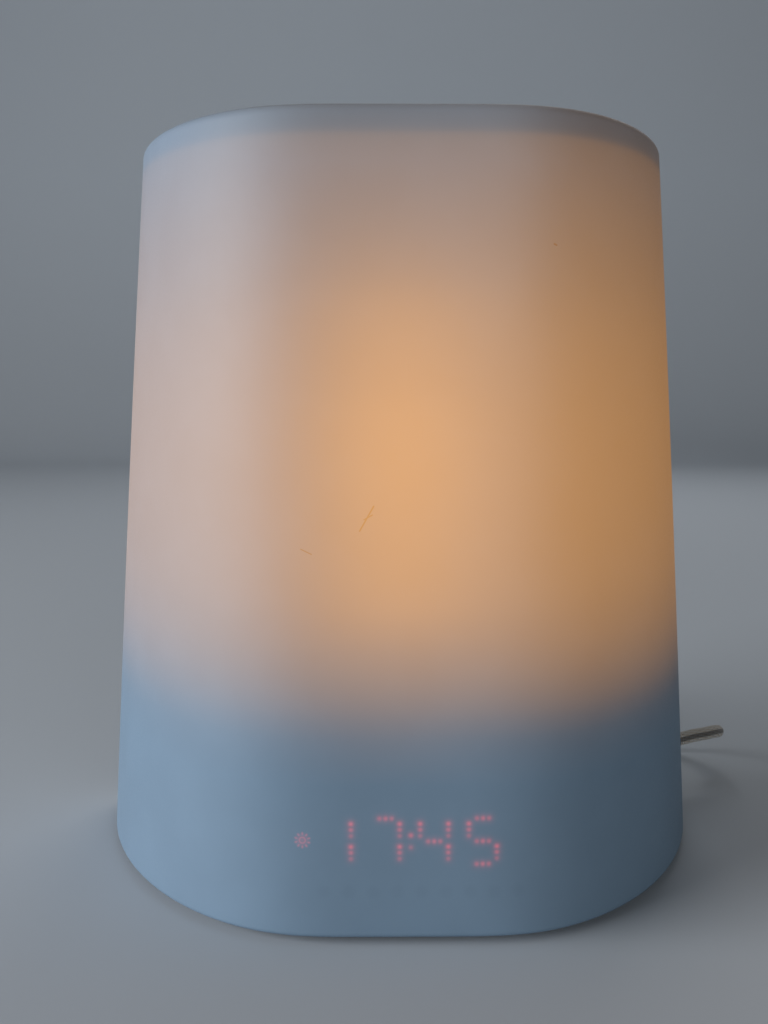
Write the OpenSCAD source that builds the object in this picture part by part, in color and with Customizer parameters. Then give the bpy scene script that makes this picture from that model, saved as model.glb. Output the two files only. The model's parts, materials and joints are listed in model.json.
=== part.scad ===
// Sunrise alarm clock: a frosted light shell on a dot-display base, with a mains lamp inside.
// X runs to the right, Y to the back and Z up. The origin is on the table, under the middle of the body.

/* [Body] */
// Width of the body at its foot
base_w = 224; // [210:1:240]
// Width of the body at its top
top_w = 188.6; // [180:0.1:196]
// Height of the shell, from its lower edge to its top
shell_h = 250; // [240:0.5:262]
// Depth of the body at its foot, from its front to the back of its cover
body_depth = 134; // [128:0.5:144]
// How far the front leans back over the height
lean = 12; // [9:0.5:15]
// Depth of the rear frame, from the seam to its back
frame_depth = 22; // [21:0.5:26]
// Half width of the flat part of the front at the foot
flat_foot = 30.2; // [26:0.1:34]
// Half width of the flat part of the front at the top
flat_top = 32; // [28:0.5:36]
// How square the front corners are, 2 being an ellipse
front_power = 1.8; // [1.7:0.1:2.2]
// How square the rear corners are, 2 being a circle
rear_power = 3; // [2.6:0.1:3.4]
// How far each side bulges out at mid height
side_bow = 0.5; // [0:0.1:1.5]
// Radius of the edge round the top
top_edge_r = 3; // [2.8:0.1:5]
// Radius of the edge round the foot
foot_edge_r = 2; // [1:0.1:2.6]
// Radius of the edge over the back of the top
back_edge_r = 8; // [6:0.5:12]

/* [Walls] */
// Wall of the frosted front shell
shell_wall = 3.2; // [2.8:0.1:3.6]
// Wall of the rear frame
frame_wall = 2.6; // [2.2:0.1:3]
// Width of the rim that the back cover lies on
rim_w = 8; // [7:0.5:10]
// Thickness of the back cover
cover_t = 2.5; // [2:0.1:3.5]
// How far the back cover reaches over the rear corners
cover_over = 2; // [1:0.5:3]
// Depth of the tongue on the rear frame that enters the shell
tongue_depth = 4; // [3:0.5:5]
// Thickness of that tongue at its root
tongue_t = 2.1; // [1.6:0.1:2.4]
// How much thinner the tongue is at its tip
tongue_taper = 0.3; // [0.2:0.05:0.5]
// How much thinner the rim is at its free edge
rim_taper = 0.4; // [0.3:0.05:0.6]
// Thickness of the base plate
base_t = 3; // [2.5:0.1:4]
// Clearance round pieces that drop into the shell
fit_gap = 0.3; // [0.2:0.05:0.5]
// Clearance between faces that seat on each other
seat_gap = 0.1; // [0.05:0.05:0.2]

/* [Feet and screws] */
// Height of the rubber feet under the shell
foot_h = 2; // [1.5:0.5:4]
// Radius of a rubber foot
foot_r = 8; // [6:0.5:10]
// Radius of a screw's shank
screw_r = 1.5; // [1.2:0.1:2]
// Radius of a screw's head
screw_head_r = 2.8; // [2.6:0.1:3.4]
// Height of a screw's head
screw_head_h = 1.6; // [1.2:0.1:2]
// Length of a screw under its head
screw_len = 9; // [7:0.5:12]
// Clearance between a screw and its hole
screw_gap = 0.15; // [0.1:0.05:0.3]

/* [Light chamber] */
// Height of the chamber floor over the table
chamber_floor_z = 67; // [62:0.5:72]
// Distance from the top of the shell down to the chamber roof
roof_drop = 8.5; // [8.5:0.5:14]
// Thickness of the chamber floor and roof
chamber_t = 2; // [1.6:0.1:3]
// Depth of the skirt round the roof
skirt_h = 5; // [3:0.5:8]
// Radius of the curved reflector
reflector_r = 62; // [58:0.5:64]
// Thickness of the reflector
reflector_t = 1.5; // [1:0.1:2]
// Half the angle that the reflector covers
reflector_half = 66; // [55:1:72]
// Distance from the reflector's axis to the middle of the body
reflector_y = -18; // [-20:1:-16]

/* [Lamp] */
// Place of the lamp from left to right
lamp_x = 6; // [0:0.5:8]
// Place of the lamp from front to back
lamp_y = -4; // [-8:0.5:0]
// Radius of the tubular bulb
bulb_r = 19; // [16:0.5:22]
// Length of the bulb, from its cap to its tip
bulb_len = 128; // [118:1:134]
// Wall of the bulb
bulb_wall = 1; // [0.8:0.1:1.4]
// Radius of the screw cap over its thread
cap_r = 13.2; // [13:0.05:13.3]
// Length of the screw cap
cap_len = 25; // [24:0.5:27]
// Radius of the lamp holder
holder_r = 21; // [19:0.5:23]
// Height of the lamp holder
holder_h = 38; // [36:0.5:40]
// Depth of the holder's solid foot
holder_foot = 10; // [8:0.5:12]
// Clearance between the screw cap and its holder
cap_gap = 0.15; // [0.1:0.05:0.3]

/* [Display] */
// Distance between neighbouring dots
dot_pitch = 1.87; // [1.8:0.01:1.95]
// Radius of a dot
dot_r = 0.65; // [0.5:0.05:0.7]
// Width of a digit between its left and right strokes
digit_w = 8.6; // [8:0.1:9]
// Height of a digit between its top and bottom strokes
digit_h = 14.3; // [13.8:0.1:15]
// Distance from one digit to the next
digit_pitch = 14.85; // [14.2:0.05:15.2]
// Place of the middle of the digits from left to right
digits_x = 0.9; // [-1:0.1:2.5]
// Height of the middle of the digits over the foot
digits_z = 30.9; // [29:0.1:32]
// Place of the sun sign from left to right
sun_x = -31.9; // [-32.5:0.1:-31]
// Radius of the sun sign
sun_r = 2.3; // [2:0.1:2.6]
// Half width of the display window
window_half = 38; // [37.5:0.5:39]
// Height of the display window
window_h = 36; // [32:0.5:40]
// Thickness of the mask over the dots
mask_t = 1.4; // [1.2:0.1:1.8]
// Thickness of the sheet that carries the dots
guide_t = 1; // [0.8:0.1:1.4]
// Thickness of each circuit board
board_t = 1.6; // [1.4:0.1:2]

/* [Buttons] */
// Travel of a push-button
button_travel = 0.5; // [0.3:0.05:0.6]
// Width of a push-button from front to back
button_w = 6; // [5:0.5:6.5]
// Height of a push-button
button_h = 15; // [12:0.5:16]
// How far a push-button stands out of the side
button_proud = 1; // [0.8:0.1:1.4]
// Distance between the push-buttons
button_pitch = 21; // [20:0.5:24]
// Height of the lowest push-button
button_z = 112; // [105:1:120]
// Clearance round a push-button
button_gap = 0.3; // [0.2:0.05:0.4]
// Radius of a key switch's plunger
plunger_r = 1.7; // [1.5:0.05:2]
// Clearance between the plunger and its switch
plunger_gap = 0.05; // [0.03:0.01:0.08]

/* [Loudspeaker] */
// Radius of the loudspeaker over its flange
speaker_r = 26; // [25:0.5:27]
// Place of the loudspeaker from left to right
speaker_x = -40; // [-42:1:-34]
// Height of the loudspeaker over the table
speaker_z = 37; // [35:0.5:38]
// Radius of a hole in the grille
grille_hole_r = 1.2; // [1:0.1:1.4]
// Distance between the holes in the grille
grille_pitch = 4.6; // [4.4:0.1:6]

/* [Mains lead] */
// Diameter of the braided lead
cord_d = 5.4; // [5:0.1:5.8]
// Length of the lead's strain relief outside the body
boot_len = 13; // [12:0.5:16]
// Length of the plug's body
plug_len = 35; // [32:0.5:38]
// Width of the plug
plug_w = 35; // [32:0.5:37]
// Thickness of the plug
plug_t = 13.7; // [12:0.1:15]
// Radius of a plug pin
pin_r = 2; // [1.9:0.05:2.4]
// Length of a plug pin
pin_len = 19; // [18:0.5:20]
// Distance between the plug pins
pin_pitch = 18.6; // [17.5:0.1:19]

/* [Hidden] */
$fn = 48;

// Heights and planes that everything is set out from
foot_z = foot_h;
top_z = foot_z + shell_h;
cover_back_y = body_depth / 2;
frame_back_y = cover_back_y - cover_t;
seam_y = frame_back_y - frame_depth;
front_depth = seam_y + body_depth / 2;
inner_wall = shell_wall + fit_gap;
tongue_in = inner_wall + fit_gap + tongue_t;
base_top_z = foot_z + fit_gap + base_t;
chamber_roof_z = top_z - roof_drop;
lean_angle = atan(lean / shell_h);
side_angle = atan((base_w - top_w) / 2 / shell_h);

// Number of steps in a quarter of the plan, in a rounded edge and up the height
PLAN_STEPS = 22;
EDGE_STEPS = 4;
RISE_STEPS = 6;

// The body's outline at one height, in from the outside by inset
function rise(z) = (z - foot_z) / shell_h;
function half_width(z) =
    base_w / 2 + (top_w - base_w) / 2 * rise(z) + 4 * side_bow * rise(z) * (1 - rise(z));
function flat_half(z) = flat_foot + (flat_top - flat_foot) * rise(z);
function reach(z) = front_depth - lean * rise(z);
function bulge(turn, power) = pow(max(turn, 0), 2 / power);
function front_y(z, inset) = seam_y - reach(z) + inset;

// One point of the front corner, from the flat front at 0 degrees to the seam at 90
function front_point(z, inset, a) = [
    flat_half(z) + (half_width(z) - inset - flat_half(z)) * bulge(sin(a), front_power),
    seam_y - (reach(z) - inset) * bulge(cos(a), front_power)
];
function front_line(z, inset) = concat(
    [for (i = [PLAN_STEPS:-1:0]) let (p = front_point(z, inset, 90 * i / PLAN_STEPS)) [-p[0], p[1]]],
    [for (i = [0:PLAN_STEPS]) front_point(z, inset, 90 * i / PLAN_STEPS)]
);
// One point of the rear corner, from the seam at 0 degrees to the flat back at 90
function rear_point(z, inset, a) = [
    half_width(z) - inset - (frame_depth - inset) * (1 - bulge(cos(a), rear_power)),
    seam_y + (frame_depth - inset) * bulge(sin(a), rear_power)
];
function rear_line(z, inset) = concat(
    [for (i = [1:8]) rear_point(z, inset, 90 * i / 8)],
    [for (i = [8:-1:1]) let (p = rear_point(z, inset, 90 * i / 8)) [-p[0], p[1]]]
);
function body_line(z, inset) = concat(front_line(z, inset), rear_line(z, inset));

// ---- Housing ----

// The shell's skins as rows of [height, inset], from the foot to the top
shell_outer_rows = concat(
    [for (i = [0:EDGE_STEPS]) let (a = 90 * i / EDGE_STEPS)
        [foot_z + foot_edge_r * (1 - cos(a)), foot_edge_r * (1 - sin(a))]],
    [for (i = [1:RISE_STEPS - 1]) [foot_z + shell_h * i / RISE_STEPS, 0]],
    [for (i = [0:EDGE_STEPS]) let (a = 90 * i / EDGE_STEPS)
        [top_z - top_edge_r * (1 - sin(a)), top_edge_r * (1 - cos(a))]]
);
// Each inner row lies behind an outer row, scaled to end under the top
shell_inner_rows = [
    for (row = shell_outer_rows)
        [foot_z + (row[0] - foot_z) * (shell_h - shell_wall) / shell_h,
         shell_wall + max(row[0] - (top_z - top_edge_r), 0) / 3]
];

function row_points(row) = [for (p = front_line(row[0], row[1])) [p[0], p[1], row[0]]];
function flatten(lists) = [for (list = lists) for (item = list) item];
// Two triangles for the four-cornered face a, b, c, d
function pair(a, b, c, d) = [[a, b, c], [a, c, d]];

// The front shell: closed at the top, open behind the seam and at the foot
module front_shell() {
    outer = [for (row = shell_outer_rows) row_points(row)];
    inner = [for (row = shell_inner_rows) row_points(row)];
    n = len(outer[0]);
    rows = len(outer);
    last = rows - 1;
    function o(k, j) = k * n + j;
    function i(k, j) = (rows + k) * n + j;
    color([0.78, 0.82, 0.86, 0.85])
        polyhedron(
            points = concat(flatten(outer), flatten(inner)),
            faces = flatten(concat(
                [for (k = [0:rows - 2], j = [0:n - 2])
                    pair(o(k, j), o(k + 1, j), o(k + 1, j + 1), o(k, j + 1))],
                [for (k = [0:rows - 2], j = [0:n - 2])
                    pair(i(k, j), i(k, j + 1), i(k + 1, j + 1), i(k + 1, j))],
                [for (j = [0:n - 2]) pair(o(0, j), o(0, j + 1), i(0, j + 1), i(0, j))],
                [for (j = [0:n / 2 - 2])
                    pair(o(last, j), o(last, n - 1 - j), o(last, n - 2 - j), o(last, j + 1))],
                [for (j = [0:n / 2 - 2])
                    pair(i(last, j), i(last, j + 1), i(last, n - 2 - j), i(last, n - 1 - j))],
                [for (k = [0:rows - 2]) pair(o(k, 0), i(k, 0), i(k + 1, 0), o(k + 1, 0))],
                [for (k = [0:rows - 2]) pair(o(k, n - 1), o(k + 1, n - 1), i(k + 1, n - 1), i(k, n - 1))],
                [pair(o(last, 0), i(last, 0), i(last, n - 1), o(last, n - 1))]
            ))
        );
}

// A point of the rear frame: how far back, how far in from the side, how far down from the top, edge radius
function frame_top_drop(y) =
    let (d = max(y - (frame_back_y - back_edge_r), 0))
    back_edge_r - sqrt(max(back_edge_r * back_edge_r - d * d, 0));
frame_inner_edge_r = max(top_edge_r - frame_wall, 0.4);
function frame_skin(a, wall) =
    let (y = seam_y + (frame_depth - wall) * bulge(sin(a), rear_power))
    [y, wall + (frame_depth - wall) * (1 - bulge(cos(a), rear_power)), wall + frame_top_drop(y), 0];
function with_edge(p, r) = [p[0], p[1], p[2], r];
frame_profile = concat(
    [for (i = [0:8]) with_edge(frame_skin(90 * i / 8, 0), top_edge_r)],
    [[frame_back_y, frame_depth + rim_w, back_edge_r + rim_w, frame_inner_edge_r]],
    [[frame_back_y - frame_wall + rim_taper, frame_depth + rim_w, back_edge_r + rim_w, frame_inner_edge_r]],
    [for (i = [8:-1:1]) with_edge(frame_skin(90 * i / 8, frame_wall), frame_inner_edge_r)],
    [[seam_y + tongue_t, frame_wall, frame_wall, frame_inner_edge_r]],
    [[seam_y + tongue_t, tongue_in, tongue_in, frame_inner_edge_r]],
    [[seam_y - tongue_depth, tongue_in - tongue_taper, tongue_in - tongue_taper, frame_inner_edge_r]],
    [[seam_y - tongue_depth, tongue_in - tongue_t, tongue_in - tongue_t, frame_inner_edge_r]],
    [[seam_y, tongue_in - tongue_t, tongue_in - tongue_t, frame_inner_edge_r]]
);
// One half of the frame's arch through a profile point, from its foot up to the middle of the top
function arch_half(p) =
    let (edge_z = top_z - p[2] - p[3], edge_x = half_width(edge_z) - p[1] - p[3])
    concat(
        [for (i = [0:RISE_STEPS]) let (z = foot_z + (edge_z - foot_z) * i / RISE_STEPS)
            [half_width(z) - p[1], p[0], z]],
        [for (i = [1:EDGE_STEPS]) let (a = 90 * i / EDGE_STEPS)
            [edge_x + p[3] * cos(a), p[0], edge_z + p[3] * sin(a)]]
    );
function arch(p) =
    let (half = arch_half(p), n = len(half))
    concat(half, [for (i = [n - 1:-1:0]) [-half[i][0], half[i][1], half[i][2]]]);

module frame_arch() {
    lines = [for (p = frame_profile) arch(p)];
    n = len(lines);
    m = len(lines[0]);
    function at(k, s) = (k % n) * m + s;
    polyhedron(
        points = flatten(lines),
        faces = concat(
            flatten([for (k = [0:n - 1], s = [0:m - 2])
                pair(at(k, s), at(k, s + 1), at(k + 1, s + 1), at(k + 1, s))]),
            [[for (k = [0:n - 1]) at(k, 0)]],
            [[for (k = [n - 1:-1:0]) at(k, m - 1)]]
        )
    );
}

// The rear frame: both flanks, the rear of the top and the rim for the back cover
module rear_frame() {
    color([0.9, 0.91, 0.92])
        difference() {
            frame_arch();
            for (side = [-1, 1], i = [0:2])
                at_button(side, i)
                    translate([-frame_wall - 6, -button_w / 2 - button_gap, -button_h / 2 - button_gap])
                        cube([frame_wall + 12, button_w + 2 * button_gap, button_h + 2 * button_gap]);
            at_cover_screws() cylinder(r = screw_r + screw_gap, h = 4 * frame_wall, center = true);
            on_boot() translate([0, 0, -boot_inside - 1])
                cylinder(r = boot_neck_r + seat_gap, h = boot_inside + boot_len);
        }
}

// The back cover's outline, as [x, z]
cover_low_r = 4;
cover_top_r = 14;
cover_in = frame_depth - cover_over;
cover_low_z = foot_z + fit_gap;
cover_top_z = top_z - back_edge_r + cover_over;
function corner_arc(cx, cz, r, a0, a1) =
    [for (i = [0:6]) let (a = a0 + (a1 - a0) * i / 6) [cx + r * cos(a), cz + r * sin(a)]];
function cover_line() =
    let (low_x = half_width(cover_low_z) - cover_in - cover_low_r,
         top_x = half_width(cover_top_z) - cover_in - cover_top_r,
         right = concat(corner_arc(low_x, cover_low_z + cover_low_r, cover_low_r, -90, 0),
                        corner_arc(top_x, cover_top_z - cover_top_r, cover_top_r, 0, 90)),
         n = len(right))
    concat(right, [for (i = [n - 1:-1:0]) [-right[i][0], right[i][1]]]);

// Screws of the back cover, on the rim: three heights on each side
cover_screw_zs = [foot_z + 14, foot_z + shell_h * 0.5, top_z - back_edge_r - 20];
module at_cover_screws() {
    for (side = [-1, 1], z = cover_screw_zs)
        translate([side * (half_width(z) - frame_depth - rim_w / 2 - 0.5), frame_back_y, z])
            rotate([-90, 0, 0]) children();
}

vent_w = 22;
vent_h = 3;
vent_pitch = 7.5;
vent_count = 9;
module at_vents() {
    for (side = [-1, 1], i = [0:vent_count - 1])
        translate([side * 22, frame_back_y, top_z - back_edge_r - 28 - i * vent_pitch]) children();
}

grille_rings = 4;
module at_grille() {
    for (ring = [0:grille_rings], i = [0:max(6 * ring, 1) - 1])
        rotate([0, 0, ring == 0 ? 0 : 360 * i / (6 * ring)])
            translate([ring * grille_pitch, 0, 0]) children();
}

module back_cover() {
    color([0.86, 0.87, 0.89])
        difference() {
            union() {
                translate([0, cover_back_y, 0]) rotate([90, 0, 0])
                    linear_extrude(cover_t - seat_gap) polygon(cover_line());
                at_speaker() difference() {
                    translate([0, 0, -speaker_flange_t])
                        cylinder(r = speaker_r + fit_gap + speaker_ring_t, h = speaker_flange_t + 1);
                    translate([0, 0, -2 * speaker_flange_t])
                        cylinder(r = speaker_r + fit_gap, h = 2 * speaker_flange_t);
                }
            }
            at_cover_screws() cylinder(r = screw_r + screw_gap, h = 4 * cover_t, center = true);
            at_cover_screws() translate([0, 0, cover_t - screw_head_h])
                cylinder(r = screw_head_r + screw_gap, h = 2 * screw_head_h);
            at_vents() cube([vent_w, 6 * cover_t, vent_h], center = true);
            at_speaker() at_grille() cylinder(r = grille_hole_r, h = 4 * cover_t, center = true);
        }
}

module screw() {
    cylinder(r = screw_head_r, h = screw_head_h);
    translate([0, 0, -screw_len]) cylinder(r = screw_r, h = screw_len + screw_head_h / 2);
}

module cross_recess() {
    translate([0, 0, screw_head_h]) for (turn = [0, 90]) rotate([0, 0, turn])
        cube([screw_head_r * 1.2, screw_r * 0.4, screw_head_h], center = true);
}

module cross_screw() {
    difference() {
        screw();
        cross_recess();
    }
}

module back_screws() {
    color([0.7, 0.7, 0.7])
        at_cover_screws() translate([0, 0, cover_t - screw_head_h]) cross_screw();
}

// The plates inside are cut back where the rear frame's tongue runs down the sides
module tongue_cuts(z, t) {
    for (side = [-1, 1])
        translate([side * half_width(z) - (side > 0 ? tongue_in + fit_gap : 0),
                   seam_y - tongue_depth - fit_gap, z - t])
            cube([tongue_in + fit_gap, tongue_depth + tongue_t + 2 * fit_gap, 3 * t]);
}

// A plate that fills the body at one height, and the strip that takes it back to the cover inside the rim
module body_plate(z, t) {
    difference() {
        translate([0, 0, z]) linear_extrude(t) polygon(body_line(z + t, inner_wall));
        tongue_cuts(z, t);
    }
}
module back_strip(z, t) {
    strip_half = half_width(z + t) - frame_depth - rim_w - fit_gap;
    translate([-strip_half, seam_y + tongue_t + fit_gap, z])
        cube([2 * strip_half, frame_depth - tongue_t - fit_gap - seat_gap, t]);
}

// The posts that join the base plate to the chamber floor, and the screws in them
post_r = 4.5;
post_xy = [[-78, -12], [78, -12], [-62, 34], [72, 40]];
module at_posts(z) {
    for (p = post_xy) translate([p[0], p[1], z]) children();
}

foot_xy = [[-62, -34], [62, -34], [-74, 46], [74, 46]];
standoff_h = 5;
standoff_r = 3;
board_half = [66, 24];
board_front_gap = 17.8;
board_y = front_y(foot_z, shell_wall) + board_front_gap + board_half[1];
module at_standoffs(z) {
    for (x = [-1, 1], y = [-1, 1])
        translate([x * (board_half[0] - 6), board_y + y * (board_half[1] - 5), z]) children();
}

slot_count = 4;
slot_pitch = 9;
slot_y = 24;
slot_size = [3, 26];
module base_plate() {
    color([0.82, 0.83, 0.85]) {
        difference() {
            union() {
                body_plate(foot_z + fit_gap, base_t);
                back_strip(foot_z + fit_gap, base_t);
            }
            at_posts(0) cylinder(r = screw_r + screw_gap, h = 4 * base_top_z, center = true);
            at_posts(foot_z + fit_gap - 1) cylinder(r = screw_head_r + screw_gap, h = 1 + screw_head_h);
            for (i = [-slot_count:slot_count]) translate([i * slot_pitch, slot_y, foot_z])
                cube([slot_size[0], slot_size[1], 4 * base_t], center = true);
        }
        at_standoffs(base_top_z) cylinder(r = standoff_r, h = standoff_h);
    }
}

module rubber_feet() {
    color([0.25, 0.25, 0.27])
        for (p = foot_xy) translate([p[0], p[1], 0]) {
            cylinder(r1 = foot_r - 0.5, r2 = foot_r, h = 0.6);
            translate([0, 0, 0.6]) cylinder(r = foot_r, h = foot_z + fit_gap - 0.6);
        }
}

module base_screws() {
    color([0.7, 0.7, 0.7])
        at_posts(foot_z + fit_gap + screw_head_h) rotate([180, 0, 0]) cross_screw();
}

// ---- Light chamber ----

holder_top_z = chamber_floor_z + chamber_t + 9;
holder_z = holder_top_z - holder_h;
module at_lamp(z) {
    translate([lamp_x, lamp_y, z]) children();
}

module chamber_floor() {
    color([0.92, 0.92, 0.9])
        difference() {
            union() {
                body_plate(chamber_floor_z, chamber_t);
                back_strip(chamber_floor_z, chamber_t);
                at_posts(base_top_z) cylinder(r = post_r, h = chamber_floor_z - base_top_z + chamber_t / 2);
            }
            at_lamp(chamber_floor_z - 1) cylinder(r = holder_r + fit_gap, h = chamber_t + 2);
            at_posts(base_top_z - 1) cylinder(r = screw_r + screw_gap, h = screw_len);
        }
}

roof_slot = [60, 12];
roof_slot_y = 36;
module chamber_roof() {
    color([0.92, 0.92, 0.9])
        difference() {
            union() {
                body_plate(chamber_roof_z, chamber_t);
                difference() {
                    translate([0, 0, chamber_roof_z - skirt_h]) linear_extrude(skirt_h + 0.5)
                        polygon(body_line(chamber_roof_z + chamber_t, inner_wall + tongue_t + fit_gap));
                    translate([0, 0, chamber_roof_z - skirt_h - 1]) linear_extrude(skirt_h + 1)
                        polygon(body_line(chamber_roof_z + chamber_t, inner_wall + 2 * tongue_t + fit_gap));
                }
            }
            translate([0, roof_slot_y, chamber_roof_z])
                cube([roof_slot[0], roof_slot[1], 4 * skirt_h], center = true);
            tongue_cuts(chamber_roof_z - skirt_h, 2 * skirt_h);
        }
}

module reflector() {
    low = chamber_floor_z + chamber_t + seat_gap;
    color([0.95, 0.95, 0.93])
        translate([0, reflector_y, low])
            rotate([0, 0, 90 - reflector_half])
                rotate_extrude(angle = 2 * reflector_half, $fn = 96)
                    translate([reflector_r - reflector_t, 0])
                        square([reflector_t, chamber_roof_z - seat_gap - low]);
}

module lamp_holder() {
    color([0.9, 0.88, 0.82])
        at_lamp(holder_z)
            rotate_extrude()
                polygon([
                    [0, 0], [holder_r - 2, 0], [holder_r, 2],
                    [holder_r, holder_h - 6], [holder_r - 3, holder_h],
                    [cap_r + cap_gap, holder_h], [cap_r + cap_gap, holder_foot], [0, holder_foot]
                ]);
}

// A steel strap under the chamber floor that the lamp holder stands on
strap_t = 1.6;
strap_half = holder_r + 5;
strap_w = 16;
strap_flange = 8;
module holder_bracket() {
    low = holder_z - strap_t;
    high = chamber_floor_z - seat_gap;
    color([0.75, 0.76, 0.78])
        at_lamp(0) translate([0, strap_w / 2, 0]) rotate([90, 0, 0]) linear_extrude(strap_w)
            polygon([
                [-strap_half - strap_flange, high], [-strap_half - strap_flange, high - strap_t],
                [-strap_half, high - strap_t], [-strap_half, low], [strap_half, low],
                [strap_half, high - strap_t], [strap_half + strap_flange, high - strap_t],
                [strap_half + strap_flange, high], [strap_half - strap_t, high],
                [strap_half - strap_t, holder_z - seat_gap], [strap_t - strap_half, holder_z - seat_gap],
                [strap_t - strap_half, high]
            ]);
}

contact_h = 1.5;
cap_z = holder_z + holder_foot + contact_h + seat_gap;
bulb_z = cap_z + cap_len;
thread_turns = 5;
module lamp_cap() {
    pitch = (cap_len - 8) / thread_turns;
    color([0.8, 0.76, 0.62])
        at_lamp(cap_z) {
            rotate_extrude()
                polygon(concat(
                    [[0, 0], [cap_r - 5, 0], [cap_r - 1.2, 3]],
                    [for (i = [0:thread_turns - 1], s = [0, 1])
                        [cap_r - 0.8 * (1 - s), 4 + (i + s * 0.5) * pitch]],
                    [[cap_r - 0.8, cap_len - 4], [cap_r - 0.8, cap_len], [0, cap_len]]
                ));
            translate([0, 0, -contact_h]) cylinder(r = 4, h = contact_h + 1);
        }
}

// The bulb's outline, from its neck to its tip
neck_r = cap_r - 1.2;
neck_h = 14;
function bulb_line(off) = concat(
    [for (i = [0:6]) let (a = 180 * i / 6)
        [neck_r - off + (bulb_r - neck_r) * (1 - cos(a)) / 2, neck_h * i / 6]],
    [for (i = [0:8]) let (a = 90 * i / 8)
        [(bulb_r - off) * cos(a), bulb_len - bulb_r + (bulb_r - off) * sin(a)]]
);
module lamp_glass() {
    inner = bulb_line(bulb_wall);
    n = len(inner);
    color([0.98, 0.96, 0.9, 0.8])
        at_lamp(bulb_z + seat_gap)
            rotate_extrude()
                polygon(concat(
                    [for (p = bulb_line(0)) [max(p[0], 0), p[1]]],
                    [for (i = [n - 1:-1:0]) [max(inner[i][0], 0), inner[i][1]]]
                ));
}

stem_h = 36;
stem_r = 5;
module lamp_stem() {
    color([0.85, 0.9, 0.92])
        at_lamp(bulb_z + seat_gap) {
            cylinder(r1 = neck_r - bulb_wall - fit_gap, r2 = stem_r, h = 8);
            translate([0, 0, 8]) cylinder(r1 = stem_r, r2 = stem_r - 2, h = stem_h - 8);
        }
}

wire_r = 0.5;
filament_half = 9;
filament_h = 60;
module lamp_filament() {
    base = bulb_z + seat_gap + stem_h + seat_gap;
    color([0.95, 0.8, 0.5])
        at_lamp(base) {
            translate([-filament_half, -wire_r, 0]) cube([2 * filament_half, 2 * wire_r, 2 * wire_r]);
            for (i = [-2:2]) translate([i * filament_half / 2, 0, wire_r])
                cylinder(r = wire_r, h = filament_h, $fn = 16);
            for (s = [[-1, 1], [1, 0]])
                translate([s[0] * filament_half / 2 - filament_half / 2, -wire_r, filament_h - wire_r])
                    cube([filament_half, 2 * wire_r, 2 * wire_r]);
        }
}

// ---- Display, set out on the inside of the leaning front ----

window_z = 12;
window_gap = 1.7;
module on_front() {
    translate([0, front_y(foot_z, shell_wall), foot_z]) rotate([-lean_angle, 0, 0]) children();
}

// Places of the dots of one digit, three to a stroke
stroke = [-dot_pitch, 0, dot_pitch];
stroke_mid = digit_h / 4;
function digit_dots() = concat(
    [for (z = [-1, 0, 1], x = stroke) [x, z * digit_h / 2]],
    [for (side = [-1, 1], level = [-1, 1], z = stroke) [side * digit_w / 2, level * stroke_mid + z]]
);
digit_xs = [for (i = [0:3]) digits_x + (i - 1.5) * digit_pitch];
function all_dots() = concat(
    [for (x = digit_xs) for (p = digit_dots()) [x + p[0], p[1]]],
    [for (z = [-1, 1]) [digits_x, z * dot_pitch]],
    [[sun_x, 0]],
    [for (i = [0:7]) [sun_x + sun_r * cos(45 * i), sun_r * sin(45 * i)]]
);
module at_dots(y) {
    for (p = all_dots()) translate([p[0], y, digits_z + p[1]]) rotate([-90, 0, 0]) children();
}

module display_mask() {
    color([0.14, 0.14, 0.16])
        on_front() difference() {
            translate([-window_half, window_gap, window_z]) cube([window_half * 2, mask_t, window_h]);
            at_dots(window_gap - 1) cylinder(r = dot_r + 0.1, h = mask_t + 2, $fn = 16);
        }
}

guide_y = window_gap + mask_t + seat_gap;
guide_in = 2;
module dot_light_guide() {
    color([0.85, 0.25, 0.2])
        on_front() {
            translate([-window_half + guide_in, guide_y, window_z + guide_in])
                cube([2 * (window_half - guide_in), guide_t, window_h - 2 * guide_in]);
            at_dots(guide_y - mask_t / 2) cylinder(r = dot_r, h = mask_t / 2 + guide_t / 2, $fn = 16);
        }
}

display_board_y = guide_y + guide_t + seat_gap;
display_board_half = window_half + 5;
module display_board() {
    color([0.1, 0.35, 0.2])
        on_front() {
            translate([-display_board_half, display_board_y, window_z - 4])
                cube([display_board_half * 2, board_t, window_h + 8]);
            for (i = [-4:4])
                translate([i * 7 - 1.5, display_board_y - 1, window_z - 3]) cube([3, 1.5, 2]);
        }
}

bar_y = display_board_y + board_t + seat_gap;
bar_w = 4;
bar_d = 6;
bar_low = base_top_z - foot_z + 2 * fit_gap;
module display_bracket() {
    color([0.85, 0.86, 0.88])
        on_front() {
            for (side = [-1, 1])
                translate([side * (display_board_half - bar_w) - bar_w / 2, bar_y, bar_low])
                    cube([bar_w, bar_d, chamber_floor_z - base_top_z - 4 * fit_gap]);
            translate([bar_w - display_board_half, bar_y, window_z - 6])
                cube([2 * (display_board_half - bar_w), bar_d / 2, 5]);
        }
}

// ---- Electronics in the base ----

main_board_z = base_top_z + standoff_h + seat_gap;
parts_z = main_board_z + board_t + seat_gap;
module main_board() {
    color([0.12, 0.4, 0.22])
        translate([-board_half[0], board_y - board_half[1], main_board_z])
            cube([2 * board_half[0], 2 * board_half[1], board_t]);
}

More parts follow.
